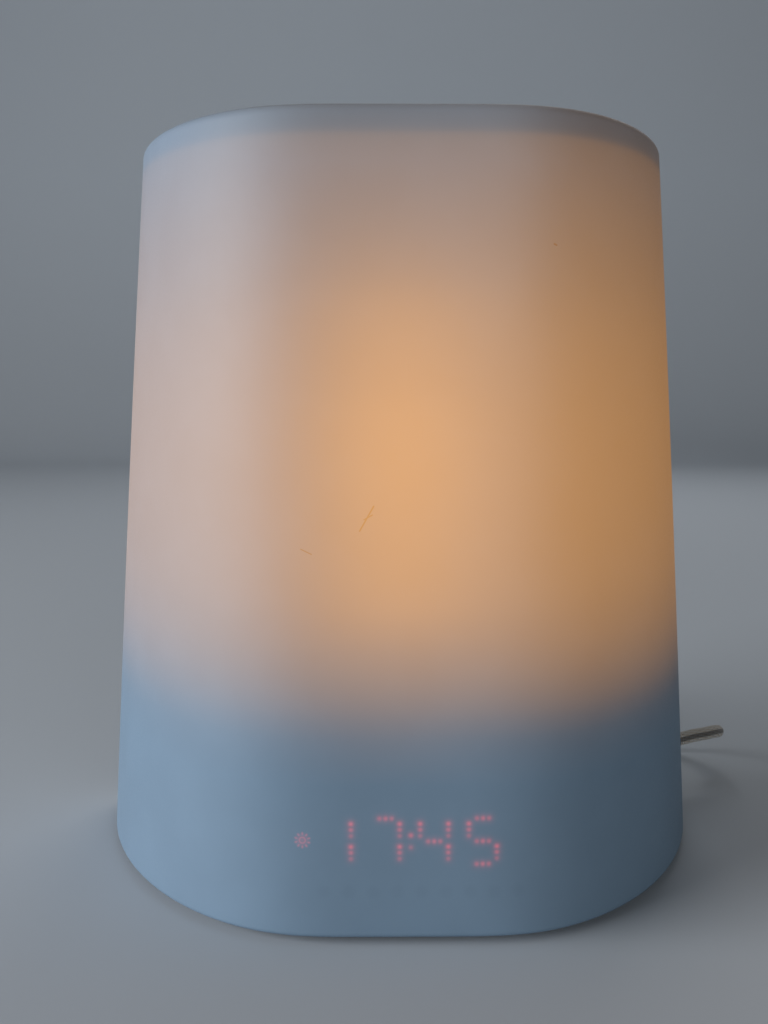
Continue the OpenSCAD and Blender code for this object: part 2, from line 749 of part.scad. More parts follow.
core_size = [40, 16, 34];
core_limb = 6;
core_x = -43;
window_size = [(core_size[0] - 4 * core_limb) / 2, core_size[2] - 2 * core_limb];
module transformer_core() {
    color([0.45, 0.45, 0.48])
        translate([core_x - core_size[0] / 2, board_y - core_size[1] / 2, parts_z])
            difference() {
                cube(core_size);
                for (side = [0, 1])
                    translate([core_limb + side * (window_size[0] + 2 * core_limb), -1, core_limb])
                        cube([window_size[0], core_size[1] + 2, window_size[1]]);
            }
}

winding_in = 1;
module transformer_winding() {
    out = [2 * (core_limb + window_size[0] - winding_in), core_size[1] + 10, window_size[1] - 2 * fit_gap];
    hole = [2 * (core_limb + fit_gap), core_size[1] + 2 * fit_gap];
    color([0.75, 0.45, 0.2])
        translate([core_x, board_y, parts_z + core_size[2] / 2])
            difference() {
                cube(out, center = true);
                cube([hole[0], hole[1], 2 * out[2]], center = true);
            }
}

capacitor_list = [[38, -34, 6, 22], [53, -36, 6, 22], [22, -38, 4, 14]];
module capacitors() {
    color([0.2, 0.22, 0.3])
        for (c = capacitor_list)
            translate([c[0], c[1], parts_z]) cylinder(r = c[2], h = c[3]);
}

sink_x = 36;
sink_y = -12;
sink_w = 34;
sink_h = 24;
fin_count = 6;
fin_d = 9;
module heatsink() {
    pitch = (sink_w - 1.6) / (fin_count - 1);
    color([0.7, 0.72, 0.74])
        translate([sink_x, sink_y, parts_z]) linear_extrude(sink_h) union() {
            square([sink_w, 2.5]);
            for (i = [0:fin_count - 1]) translate([i * pitch, 1]) square([1.6, fin_d]);
        }
}

module triac() {
    color([0.1, 0.1, 0.1])
        translate([sink_x + 8, sink_y - seat_gap, parts_z]) {
            translate([0, -4.5, 4]) cube([10, 4.5, 9]);
            translate([0, -1.3, 4]) cube([10, 1.3, 15]);
            for (i = [0:2]) translate([1.5 + i * 2.8, -3, 0]) cube([1, 0.8, 5]);
        }
}

terminal_place = [66, 18];
terminal_size = [18, 12, 14];
module terminal_block() {
    color([0.92, 0.92, 0.9])
        translate([terminal_place[0], terminal_place[1], base_top_z])
            difference() {
                cube(terminal_size);
                for (i = [0:1]) translate([4.5 + i * 9, terminal_size[1] / 2, terminal_size[2] - 5])
                    cylinder(r = 2, h = 6);
            }
}

// ---- Loudspeaker, looking out of the back ----

speaker_flange_t = 1.8;
speaker_ring_t = 2.2;
cone_edge_r = speaker_r - 7.5;
coil_r = 7;
module at_speaker() {
    translate([speaker_x, frame_back_y + seat_gap, speaker_z]) rotate([-90, 0, 0]) children();
}

module speaker_frame() {
    color([0.3, 0.3, 0.32])
        at_speaker() rotate_extrude()
            polygon([
                [speaker_r, -speaker_flange_t], [speaker_r, -seat_gap], [speaker_r - 4, -seat_gap],
                [speaker_r - 4, -4.9], [speaker_r - 11, -12.5], [coil_r + 2, -12.5], [coil_r + 2, -13.6],
                [speaker_r - 9.5, -13.6], [speaker_r - 3, -5.4], [speaker_r - 3, -speaker_flange_t]
            ]);
}

module speaker_magnet() {
    color([0.35, 0.35, 0.36])
        at_speaker() rotate_extrude()
            polygon([
                [0, -23], [16, -23], [16, -13.7], [coil_r + 1.6, -13.7],
                [coil_r + 1.6, -20], [coil_r - 1.2, -20], [coil_r - 1.2, -11.6], [0, -11.6]
            ]);
}

module voice_coil() {
    color([0.7, 0.4, 0.2])
        at_speaker() rotate_extrude()
            polygon([
                [coil_r - 0.6, -17.5], [coil_r + 0.6, -17.5], [coil_r + 0.6, -10.2], [coil_r - 0.6, -10.2]
            ]);
}

module speaker_cone() {
    color([0.16, 0.16, 0.17])
        at_speaker() rotate_extrude()
            polygon([
                [0, -7.2], [3, -7.4], [coil_r - 0.6, -8.8], [cone_edge_r, -3.6], [cone_edge_r, -4.4],
                [coil_r + 0.8, -10.1], [coil_r - 0.6, -10.1], [coil_r - 1.4, -9.4], [3, -8.2], [0, -8]
            ]);
}

module speaker_surround() {
    inner_r = cone_edge_r + seat_gap;
    outer_r = speaker_r - 4 - seat_gap;
    mid = (inner_r + outer_r) / 2;
    roll = (outer_r - inner_r) / 2;
    color([0.1, 0.1, 0.1])
        at_speaker() rotate_extrude()
            polygon(concat(
                [for (i = [0:8]) let (a = 180 - 180 * i / 8) [mid + roll * cos(a), -4.2 + roll * sin(a)]],
                [for (i = [8:-1:0]) let (a = 180 - 180 * i / 8)
                    [mid + (roll - 0.6) * cos(a), -4.2 + (roll - 0.6) * sin(a)]]
            ));
}

// ---- Push-buttons on both flanks ----

flange_t = 1.2;
flange_over = 1;
flange_gap = 0.9;
// From the flank's outside to the middle of a button's flange
flange_depth = frame_wall + flange_gap + flange_t / 2;
button_y = seam_y + tongue_t + fit_gap + button_w / 2 + 0.7;
function button_height(i) = button_z + i * button_pitch;
// A frame of its own for each button: outside face of the flank at x = 0, outwards along +X
module at_button(side, i) {
    mirror([side < 0 ? 1 : 0, 0, 0])
        translate([half_width(button_height(i)), button_y, button_height(i)])
            rotate([0, -side_angle, 0]) children();
}
// The same place, unturned, for what slides straight in
module beside_button(side, i) {
    mirror([side < 0 ? 1 : 0, 0, 0])
        translate([0, button_y, button_height(i)]) children();
}

stem_rod_r = 2;
key_size = 6;
key_h = 3.4;
plunger_h = 1.6;
plunger_out = 1;
stem_reach = 5.5;
switch_board_x = half_width(button_height(2)) - frame_wall - stem_reach - plunger_out - key_h - board_t;
key_x = switch_board_x + board_t + seat_gap;
plunger_x = key_x + key_h + plunger_out;

module button_cap(side, i) {
    color([0.8, 0.81, 0.83]) {
        at_button(side, i) {
            translate([-flange_depth - flange_t / 2, -button_w / 2, -button_h / 2])
                cube([flange_depth + flange_t / 2 + button_proud, button_w, button_h]);
            translate([-flange_depth - flange_t / 2, -button_w / 2, -button_h / 2 - flange_over])
                cube([flange_t, button_w, button_h + 2 * flange_over]);
        }
        beside_button(side, i)
            translate([plunger_x, 0, 0]) rotate([0, 90, 0])
                cylinder(r = stem_rod_r, h = half_width(button_height(i)) - flange_depth - plunger_x);
    }
}

module key_plunger(side, i) {
    color([0.15, 0.15, 0.15])
        beside_button(side, i)
            translate([plunger_x - plunger_out - plunger_h, 0, 0]) rotate([0, 90, 0])
                cylinder(r = plunger_r, h = plunger_h + plunger_out - 0.02);
}

module key_switches(side) {
    color([0.3, 0.3, 0.32])
        for (i = [0:2])
            beside_button(side, i) difference() {
                translate([key_x, -key_size / 2, -key_size / 2]) cube([key_h, key_size, key_size]);
                translate([plunger_x - plunger_out - plunger_h - button_travel - button_gap, 0, 0])
                    rotate([0, 90, 0]) cylinder(r = plunger_r + plunger_gap, h = key_h);
            }
}

switch_board_z = [button_height(0) - 12, button_height(2) + 12];
switch_board_y = [seam_y + 3, frame_back_y - frame_wall - 2];
module switch_board(side) {
    color([0.12, 0.4, 0.22])
        mirror([side < 0 ? 1 : 0, 0, 0])
            translate([switch_board_x, switch_board_y[0], switch_board_z[0]])
                cube([board_t, switch_board_y[1] - switch_board_y[0],
                      switch_board_z[1] - switch_board_z[0]]);
}

// A tray behind each switch board, from the frame's rim to the flank
carrier_t = 2;
corner_room = 1.2;
module board_carrier(side) {
    y0 = switch_board_y[0];
    y1 = frame_back_y - frame_wall - corner_room;
    color([0.85, 0.86, 0.88])
        mirror([side < 0 ? 1 : 0, 0, 0]) {
            translate([switch_board_x - seat_gap - carrier_t, y0, switch_board_z[0] - carrier_t])
                cube([carrier_t, y1 - y0, switch_board_z[1] - switch_board_z[0] + 2 * carrier_t]);
            for (z = [switch_board_z[0] - carrier_t - seat_gap, switch_board_z[1] + seat_gap])
                translate([switch_board_x - seat_gap - carrier_t, y0, z])
                    cube([half_width(z + carrier_t) - frame_wall - corner_room - switch_board_x + carrier_t,
                          (y1 - y0) / 2, carrier_t]);
        }
}

// ---- Mains lead ----

cord_r = cord_d / 2;
tie_t = 0.8;
// Where the lead leaves the body at the rear right corner, and its rise and turn there
boot_at = [105.7, 58.8, 18.9];
boot_turn = [5, 18];
boot_inside = 11;
boot_collar = [1, 2];
boot_groove = 0.5;
boot_lip = 0.8;
boot_rib = 2.4;
boot_neck_r = 4.6;
module on_boot() {
    translate(boot_at) rotate([0, 90 - boot_turn[0], boot_turn[1]]) children();
}

// The free stretch, out of the boot and in one falling bend round behind the body to the coil
cord_route = [
    [112, 60.9, 19.5], [118, 62.8, 20], [121.8, 64.2, 20.4], [125.6, 65.6, 20.8],
    [130.6, 67.8, 20.8], [135, 71.2, 20.4], [138.4, 75.6, 19.2], [140.6, 80.6, 17.6],
    [141.2, 86, 15.6], [140.6, 91.2, 13.4], [138.4, 95.8, 11], [135, 99.6, 8.6],
    [130.6, 102.4, 6.4], [125.6, 104, 4.6], [120, 104.4, 3.4], [113, 104.6, 2.8],
    [104, 105, 2.8], [92, 106, 2.9], [80, 107.2, 3.2], [68, 108.4, 3.5],
    [56, 109.1, 3.7], [46, 109.3, 3.7], [40, 109.3, 3.7]
];

// The coil lies behind the body: layers of loops that spiral in and out, wound clockwise
coil_at = [40, 146];
coil_outer_r = 36.7;
coil_step = 5.9;
loops_per_layer = 2;
coil_layers = 4;
coil_z = 3.7;
LOOP_RINGS = 24;
coil_loops = loops_per_layer * coil_layers;
function layer_of(u) = min(floor(u / loops_per_layer), coil_layers - 1);
function in_layer(u) = u - layer_of(u) * loops_per_layer;
function coil_radius(u) =
    let (t = in_layer(u))
    coil_outer_r - coil_step * (layer_of(u) % 2 == 0 ? t : loops_per_layer - t);
// A layer is climbed in the half turn round each reversal
function coil_climb(u) =
    let (k = round(u / loops_per_layer), d = u - k * loops_per_layer)
    (k < 1 || k > coil_layers - 1) ? layer_of(u) : k - 0.5 + min(max(d * 2, -0.5), 0.5);
function coil_point(u) =
    let (a = -90 - 360 * u, r = coil_radius(u))
    [coil_at[0] + r * cos(a), coil_at[1] + r * sin(a), coil_z + coil_step * coil_climb(u)];
coil_line = concat(
    [[coil_at[0], coil_at[1] - coil_outer_r, coil_z], [coil_at[0] - 1, coil_at[1] - coil_outer_r, coil_z]],
    [for (i = [1:coil_loops * LOOP_RINGS - 1]) coil_point(i / LOOP_RINGS)],
    [[coil_at[0] + 1, coil_at[1] - coil_outer_r, coil_z + coil_step * (coil_layers - 1)],
     [coil_at[0], coil_at[1] - coil_outer_r, coil_z + coil_step * (coil_layers - 1)]]
);
// The least gap between points of the coil that are more than half a loop apart
coil_gap = min([
    for (i = [0:len(coil_line) - 1], j = [i + LOOP_RINGS / 2:1:len(coil_line) - 1])
        norm(coil_line[i] - coil_line[j])
]) - cord_d;
echo(coil_gap = coil_gap);

// The tail, down from the coil's top layer to the plug beside it
tail_route = [
    [40, 109.3, 21.4], [34, 109.3, 21.4], [27, 109.5, 20.4], [20, 110, 18], [13, 110.6, 15],
    [6, 111.2, 11.8], [-1, 111.8, 8.6], [-8, 112.4, 5.8], [-16, 112.8, 3.8], [-24, 113, 3.4],
    [-32, 113, 4.4], [-40, 113, 6], [-46, 113, 6.8], [-52, 113, 6.8]
];

// A tube swept along points, each ring square to the line there
function unit(v) = v / norm(v);
function heading(path, i) =
    unit(path[min(i + 1, len(path) - 1)] - path[max(i - 1, 0)]);
function ring_at(path, i, r, sides) =
    let (d = heading(path, i), s = unit(cross(d, [0, 0, 1])), t = cross(s, d))
    [for (k = [0:sides - 1]) let (a = 360 * (k + 0.5) / sides) path[i] + r * (cos(a) * s + sin(a) * t)];
module tube(path, r, sides) {
    n = len(path);
    rings = [for (i = [0:n - 1]) ring_at(path, i, r, sides)];
    function at(i, k) = i * sides + (k % sides);
    polyhedron(
        points = flatten(rings),
        faces = concat(
            flatten([for (i = [0:n - 2], k = [0:sides - 1])
                pair(at(i, k), at(i, k + 1), at(i + 1, k + 1), at(i + 1, k))]),
            [[for (k = [sides - 1:-1:0]) at(0, k)]],
            [[for (k = [0:sides - 1]) at(n - 1, k)]]
        )
    );
}

module cord_boot() {
    color([0.2, 0.2, 0.22])
        on_boot() rotate_extrude()
            polygon(concat(
                [[cord_r + seat_gap, -boot_inside], [boot_neck_r + boot_collar[0], -boot_inside],
                 [boot_neck_r + boot_collar[0], boot_collar[1] - boot_inside],
                 [boot_neck_r, boot_collar[1] - boot_inside], [boot_neck_r, 2]],
                [for (i = [0:3], s = [0, 1])
                    [boot_neck_r - s * boot_groove - (boot_neck_r - cord_r - boot_lip) * i / 4,
                     boot_rib * (i + 1 + s / 2)]],
                [[cord_r + boot_lip, boot_len - 0.2], [cord_r + seat_gap, boot_len]]
            ));
}

module mains_cord() {
    color([0.6, 0.6, 0.58]) tube(cord_route, cord_r, 12);
}

module mains_coil() {
    color([0.6, 0.6, 0.58]) tube(coil_line, cord_r, 6);
}

module mains_tail() {
    color([0.6, 0.6, 0.58]) tube(tail_route, cord_r, 12);
}

// A strap round the coil's loops, on its far side
tie_w = 10;
module coil_tie() {
    in_r = coil_outer_r - coil_step * loops_per_layer - cord_r - 0.6;
    out_r = coil_outer_r + cord_r + 0.6;
    high = coil_z + coil_step * (coil_layers - 1) + cord_r + 0.6;
    color([0.15, 0.15, 0.16])
        translate([coil_at[0] - tie_w / 2, coil_at[1], 0]) difference() {
            translate([0, in_r - tie_t, 0]) cube([tie_w, out_r - in_r + 2 * tie_t, high + tie_t]);
            translate([-1, in_r, tie_t]) cube([tie_w + 2, out_r - in_r, high - tie_t]);
        }
}

plug_at = [-52, 113, plug_t / 2];
plug_nose = 12;
module plug_body() {
    color([0.15, 0.15, 0.16])
        translate(plug_at) translate([0, 0, -plug_t / 2]) linear_extrude(plug_t)
            polygon([
                [0, -5], [-plug_len + plug_nose, -plug_w / 2], [-plug_len + 2, -plug_w / 2],
                [-plug_len, -plug_w / 2 + 3], [-plug_len, plug_w / 2 - 3], [-plug_len + 2, plug_w / 2],
                [-plug_len + plug_nose, plug_w / 2], [0, 5]
            ]);
}

module plug_pins() {
    color([0.75, 0.76, 0.78])
        for (side = [-1, 1])
            translate(plug_at + [-plug_len, side * pin_pitch / 2, 0]) rotate([0, -90, 0]) {
                cylinder(r = pin_r, h = pin_len - 1);
                translate([0, 0, pin_len - 1]) cylinder(r1 = pin_r, r2 = pin_r - 0.8, h = 1);
            }
}

// ---- Wires inside the base ----

module lamp_wires() {
    color([0.8, 0.8, 0.75])
        for (wire = [0, 1])
            tube([[70.5 + wire * 9, 24, 19.4], [70 + wire * 9, 24.6, 25], [66 + wire * 7, 26.4, 33],
                  [58 + wire * 3, 27, 39 + wire * 4], [48, 26, 42 + wire * 4], [38, 21, 43 + wire * 4],
                  [30, 15, 43 + wire * 4], [22.7, 9.1, 43 + wire * 4]], 1.2, 8);
}

module inner_lead() {
    color([0.85, 0.85, 0.82])
        tube([[111.9, 60.8, 19.5], [106, 58.9, 18.9], [100, 56.9, 18.4],
              [95.3, 55.4, 17.9], [91.2, 53.4, 17.4], [88.9, 50, 16.7], [88.1, 45.6, 15.8], [88, 41, 15],
              [88, 35, 14], [88, 30, 13.4], [87.4, 27, 13], [86, 25.1, 13], [84.2, 25, 13]], 2, 8);
}

front_shell();
rear_frame();
back_cover();
base_plate();
rubber_feet();
base_screws();
back_screws();
chamber_floor();
chamber_roof();
reflector();
lamp_holder();
holder_bracket();
lamp_glass();
lamp_cap();
lamp_stem();
lamp_filament();
display_mask();
dot_light_guide();
display_board();
display_bracket();
main_board();
transformer_core();
transformer_winding();
capacitors();
heatsink();
triac();
terminal_block();
speaker_frame();
speaker_magnet();
speaker_cone();
voice_coil();
speaker_surround();
lamp_wires();
inner_lead();
switch_board(-1);  // left_switch_board
switch_board(1);  // right_switch_board
key_switches(-1);  // left_key_switches
key_switches(1);  // right_key_switches
board_carrier(-1);  // left_board_carrier
board_carrier(1);  // right_board_carrier
button_cap(-1, 0);  // dimmer_button
button_cap(-1, 1);  // brighter_button
button_cap(-1, 2);  // light_button
button_cap(1, 0);  // quieter_button
button_cap(1, 1);  // louder_button
button_cap(1, 2);  // alarm_button
key_plunger(-1, 0);  // dimmer_plunger
key_plunger(-1, 1);  // brighter_plunger
key_plunger(-1, 2);  // light_plunger
key_plunger(1, 0);  // quieter_plunger
key_plunger(1, 1);  // louder_plunger
key_plunger(1, 2);  // alarm_plunger
cord_boot();
mains_cord();
mains_coil();
mains_tail();
coil_tie();
plug_body();
plug_pins();
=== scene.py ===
"""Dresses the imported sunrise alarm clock: its glowing frosted shell, housing, keys and mains lead.

Lengths are in millimetres unless a class says otherwise, in the clock's own frame: X to the right, Y to
the back and Z up from the table. Meshes are turned into metres when they are made.
"""

from __future__ import annotations

import functools
import json
import logging
import math
from dataclasses import dataclass
from enum import Enum
from typing import Callable, Iterable, Sequence

import bmesh
import bpy
import numpy as np
from mathutils import Matrix, Vector

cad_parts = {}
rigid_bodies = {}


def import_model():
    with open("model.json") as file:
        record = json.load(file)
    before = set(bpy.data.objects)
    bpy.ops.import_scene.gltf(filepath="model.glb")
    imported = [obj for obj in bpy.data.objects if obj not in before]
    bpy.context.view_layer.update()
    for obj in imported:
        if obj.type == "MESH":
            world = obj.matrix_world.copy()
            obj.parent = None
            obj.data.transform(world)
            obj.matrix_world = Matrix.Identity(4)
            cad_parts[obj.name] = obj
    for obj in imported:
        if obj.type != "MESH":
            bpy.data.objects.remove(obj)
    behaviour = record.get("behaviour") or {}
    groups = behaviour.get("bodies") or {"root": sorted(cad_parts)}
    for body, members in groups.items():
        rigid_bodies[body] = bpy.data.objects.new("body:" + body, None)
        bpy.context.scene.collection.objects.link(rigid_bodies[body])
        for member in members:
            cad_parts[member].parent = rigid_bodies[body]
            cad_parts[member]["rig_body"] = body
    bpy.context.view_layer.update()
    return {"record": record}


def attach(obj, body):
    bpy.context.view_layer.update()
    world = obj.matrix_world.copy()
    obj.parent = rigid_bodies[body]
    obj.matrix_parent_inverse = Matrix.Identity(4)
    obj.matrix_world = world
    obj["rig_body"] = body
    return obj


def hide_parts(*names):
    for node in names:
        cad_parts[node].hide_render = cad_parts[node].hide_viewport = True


log = logging.getLogger("sunrise_clock")

Pair = tuple[float, float]
Point = tuple[float, float, float]
Colour = tuple[float, float, float]
Section = tuple[float, float, float, float]
Piece = bpy.types.Object
Material = bpy.types.Material

MM = 0.001
HOUSING = "housing"
OUTER_SKIN = "outer_skin"
BLACK: Colour = (0.0, 0.0, 0.0)
WHITE: Colour = (1.0, 1.0, 1.0)
EVEN: Point = (1.0, 1.0, 1.0)
NOISE_SPAN: Pair = (0.3, 0.7)
CLOUD_DETAIL = 3.0

# Points nearer than this, in metres, are one point, and faces that turn by less than this, in degrees,
# are one face.
WELD = 1e-6
COPY_WELD = 2e-6
FLAT_TURN = 0.5


# ---- Small tools for meshes ----


def added(name: str, data: bpy.types.ID) -> Piece:
    """Adds an object to the scene, at the origin.

    Args:
        name: The object's name.
        data: Its mesh, lamp or camera.

    Returns:
        The new object.
    """
    piece = bpy.data.objects.new(name, data)
    bpy.context.scene.collection.objects.link(piece)
    return piece


def mesh_from(name: str, points: np.ndarray, faces: Iterable[Sequence[int]]) -> Piece:
    """Makes a smooth mesh object from points in millimetres.

    Args:
        name: The piece's name.
        points: One row of X, Y and Z for each vertex.
        faces: Vertex numbers of each face, anticlockwise as seen from outside.

    Returns:
        The new object, linked to the scene, at the origin.
    """
    mesh = bpy.data.meshes.new(name)
    mesh.from_pydata((points * MM).tolist(), [], [tuple(f) for f in faces])
    mesh.polygons.foreach_set("use_smooth", [True] * len(mesh.polygons))
    mesh.update()
    return added(name, mesh)


def piece_from(work: bmesh.types.BMesh, name: str) -> Piece:
    """Makes an object from a working mesh, and frees that.

    Args:
        work: The working mesh.
        name: The object's name.

    Returns:
        The new object.
    """
    mesh = bpy.data.meshes.new(name)
    work.to_mesh(mesh)
    work.free()
    return added(name, mesh)


def grid_faces(rows: int, columns: int, first: int = 0, wrap_rows: bool = False,
               wrap_columns: bool = False, flip: bool = False) -> list[tuple[int, ...]]:
    """Lists the quads of a grid of points that are stored row by row.

    Args:
        rows: Number of rows of points.
        columns: Number of points in a row.
        first: Number of the grid's first vertex.
        wrap_rows: Whether the last row joins the first one.
        wrap_columns: Whether each row closes on itself.
        flip: Whether the quads are turned over.

    Returns:
        The vertex numbers of each quad.
    """
    faces = []
    for k in range(rows if wrap_rows else rows - 1):
        for j in range(columns if wrap_columns else columns - 1):
            a, b = first + k * columns, first + (k + 1) % rows * columns
            n = (j + 1) % columns
            quad = (a + j, a + n, b + n, b + j)
            faces.append(quad[::-1] if flip else quad)
    return faces


def respaced(line: np.ndarray, spread: Callable[[float], np.ndarray]) -> np.ndarray:
    """Reads a line at other distances along it.

    Args:
        line: One row for each point.
        spread: Gives the new distances, from the line's whole length.

    Returns:
        One row for each of the new distances.
    """
    walked = np.concatenate([[0], np.cumsum(np.linalg.norm(np.diff(line, axis=0), axis=1))])
    places = spread(walked[-1])
    return np.stack([np.interp(places, walked, line[:, k]) for k in range(line.shape[1])], axis=1)


def evaluated(piece: Piece) -> Piece:
    """Applies every modifier of a piece, and leaves a plain mesh.

    Args:
        piece: The piece.

    Returns:
        The same piece.
    """
    graph = bpy.context.evaluated_depsgraph_get()
    mesh = bpy.data.meshes.new_from_object(piece.evaluated_get(graph))
    piece.modifiers.clear()
    piece.data = mesh
    return piece


def modified(piece: Piece, kind: str, **settings: object) -> Piece:
    """Applies one modifier to a piece.

    Args:
        piece: The piece.
        kind: The modifier's type.
        settings: The modifier's settings, by their names.

    Returns:
        The same piece.
    """
    modifier = piece.modifiers.new(kind.lower(), kind)
    for name, value in settings.items():
        setattr(modifier, name, value)
    return evaluated(piece)


def shade_by_angle(piece: Piece, degrees: float, weighted: bool = True) -> None:
    """Shades a mesh smooth, apart from edges that turn by more than an angle.

    Args:
        piece: The piece to shade.
        degrees: The least angle of a sharp edge.
        weighted: Whether large faces keep flat shading up to the rounding beside them.
    """
    mesh = piece.data
    mesh.polygons.foreach_set("use_smooth", [True] * len(mesh.polygons))
    mesh.set_sharp_from_angle(angle=math.radians(degrees))
    if weighted:
        modified(piece, "WEIGHTED_NORMAL", keep_sharp=True)


def turn_outwards(piece: Piece) -> None:
    """Turns every face of a closed piece outwards.

    Args:
        piece: The piece, whose double points are joined as well.
    """
    work = bmesh.new()
    work.from_mesh(piece.data)
    bmesh.ops.remove_doubles(work, verts=work.verts, dist=WELD)
    bmesh.ops.recalc_face_normals(work, faces=work.faces)
    work.to_mesh(piece.data)
    work.free()


def rounded_copy(node: str, radius: float, segments: int, turn: float = 35) -> Piece:
    """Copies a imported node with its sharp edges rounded.

    Args:
        node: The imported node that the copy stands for.
        radius: Width of the rounding.
        segments: Number of faces across the rounding.
        turn: Least angle of an edge that is rounded, in degrees.

    Returns:
        The copy, which replaces the node.
    """
    work = bmesh.new()
    work.from_mesh(bpy.data.objects[node].data)
    bmesh.ops.remove_doubles(work, verts=work.verts, dist=COPY_WELD)
    bmesh.ops.dissolve_limit(work, angle_limit=math.radians(FLAT_TURN), verts=work.verts,
                             edges=work.edges)
    piece = piece_from(work, node + "_rounded")
    modified(piece, "BEVEL", width=radius * MM, segments=segments, limit_method="ANGLE",
             angle_limit=math.radians(turn), use_clamp_overlap=True)
    shade_by_angle(piece, turn)
    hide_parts(node)
    return piece


def mounted(piece: Piece, material: Material, body: str = HOUSING) -> Piece:
    """Finishes a piece and ties it to the part.

    Args:
        piece: The finished mesh.
        material: What it is dressed in.
        body: The body that it moves with.

    Returns:
        The piece.
    """
    piece.data.materials.clear()
    piece.data.materials.append(material)
    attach(piece, body)
    return piece


# ---- Nodes ----


def join(tree: bpy.types.NodeTree, socket: bpy.types.NodeSocket, value: object) -> None:
    """Fills a socket of a node.

    Args:
        tree: The node's tree.
        socket: The input to fill.
        value: A signal or an output, which is joined to it, or a plain value, which is set on it.
    """
    if isinstance(value, Signal):
        value = value.socket
    if isinstance(value, bpy.types.NodeSocket):
        tree.links.new(value, socket)
    elif socket.type == "RGBA":
        socket.default_value = (*value, 1.0)
    else:
        socket.default_value = value


def add_node(tree: bpy.types.NodeTree, kind: str, inputs: dict[str | int, object] | None = None,
             **settings: object) -> bpy.types.Node:
    """Adds a node to a tree.

    Args:
        tree: The tree of a material or of Geometry Nodes.
        kind: The node's type.
        inputs: What fills each input, by the input's name or number.
        settings: The node's own options.

    Returns:
        The new node.
    """
    node = tree.nodes.new(kind)
    for name, value in settings.items():
        setattr(node, name, value)
    for name, value in (inputs or {}).items():
        join(tree, node.inputs[name], value)
    return node


@dataclass(frozen=True)
class Signal:
    """A number or colour that nodes work out. The usual signs calculate with it."""

    tree: bpy.types.NodeTree
    socket: bpy.types.NodeSocket

    def to(self, operation: str, *others: Signal | float, clamp: bool = False) -> Signal:
        """Adds a Math node.

        Args:
            operation: What the node does.
            others: Its values after this one.
            clamp: Whether the result is kept from 0 to 1.

        Returns:
            The node's result.
        """
        node = add_node(self.tree, "ShaderNodeMath", dict(enumerate((self, *others))),
                        operation=operation, use_clamp=clamp)
        return Signal(self.tree, node.outputs[0])

    def __add__(self, other: Signal | float) -> Signal:
        """Returns the sum."""
        return self.to("ADD", other)

    def __sub__(self, other: Signal | float) -> Signal:
        """Returns the difference."""
        return self.to("SUBTRACT", other)

    def __mul__(self, other: Signal | float) -> Signal:
        """Returns the product."""
        return self.to("MULTIPLY", other)

    def __truediv__(self, other: Signal | float) -> Signal:
        """Returns the quotient."""
        return self.to("DIVIDE", other)

    def __mod__(self, other: Signal | float) -> Signal:
        """Returns what is left over, never below 0."""
        return self.to("FLOORED_MODULO", other)

    def __abs__(self) -> Signal:
        """Returns the value without its sign."""
        return self.to("ABSOLUTE")

    def ramp(self, start: float, end: float, low: float = 0.0, high: float = 1.0) -> Signal:
        """Turns the value smoothly from one level to another.

        Args:
            start: The value at which the result is low.
            end: The value at which the result is high.
            low: The first level.
            high: The last level.

        Returns:
            The level.
        """
        ends = {"Value": self, "From Min": start, "From Max": end, "To Min": low, "To Max": high}
        node = add_node(self.tree, "ShaderNodeMapRange", ends, interpolation_type="SMOOTHSTEP")
        return Signal(self.tree, node.outputs["Result"])

    def bell(self, middle: float, width: float) -> Signal:
        """Returns a bell curve of the value, 1 at its middle."""
        off = (self - middle) / width
        return (off * off * -0.5).to("EXPONENT")

    def curve(self, points: Sequence[Pair]) -> Signal:
        """Reads a smooth curve through a few points.

        Args:
            points: Pairs of a value and the curve's height there, from 0 to 1.

        Returns:
            The curve's height at the value.
        """
        low, high = points[0][0], points[-1][0]
        share = (self - low).to("DIVIDE", high - low, clamp=True)
        node = add_node(self.tree, "ShaderNodeFloatCurve", {"Value": share})
        line = node.mapping.curves[0]
        while len(line.points) < len(points):
            line.points.new(0.5, 0.5)
        for point, (place, height) in zip(line.points, points):
            point.location = ((place - low) / (high - low), height)
        node.mapping.update()
        return Signal(self.tree, node.outputs[0])


def largest(signals: Iterable[Signal]) -> Signal:
    """Returns the largest of several signals."""
    return functools.reduce(lambda first, second: first.to("MAXIMUM", second), signals)


def distance(across: Signal, up: Signal) -> Signal:
    """Returns how far off a point is, from how far it is across and up."""
    return (across * across + up * up).to("SQRT")


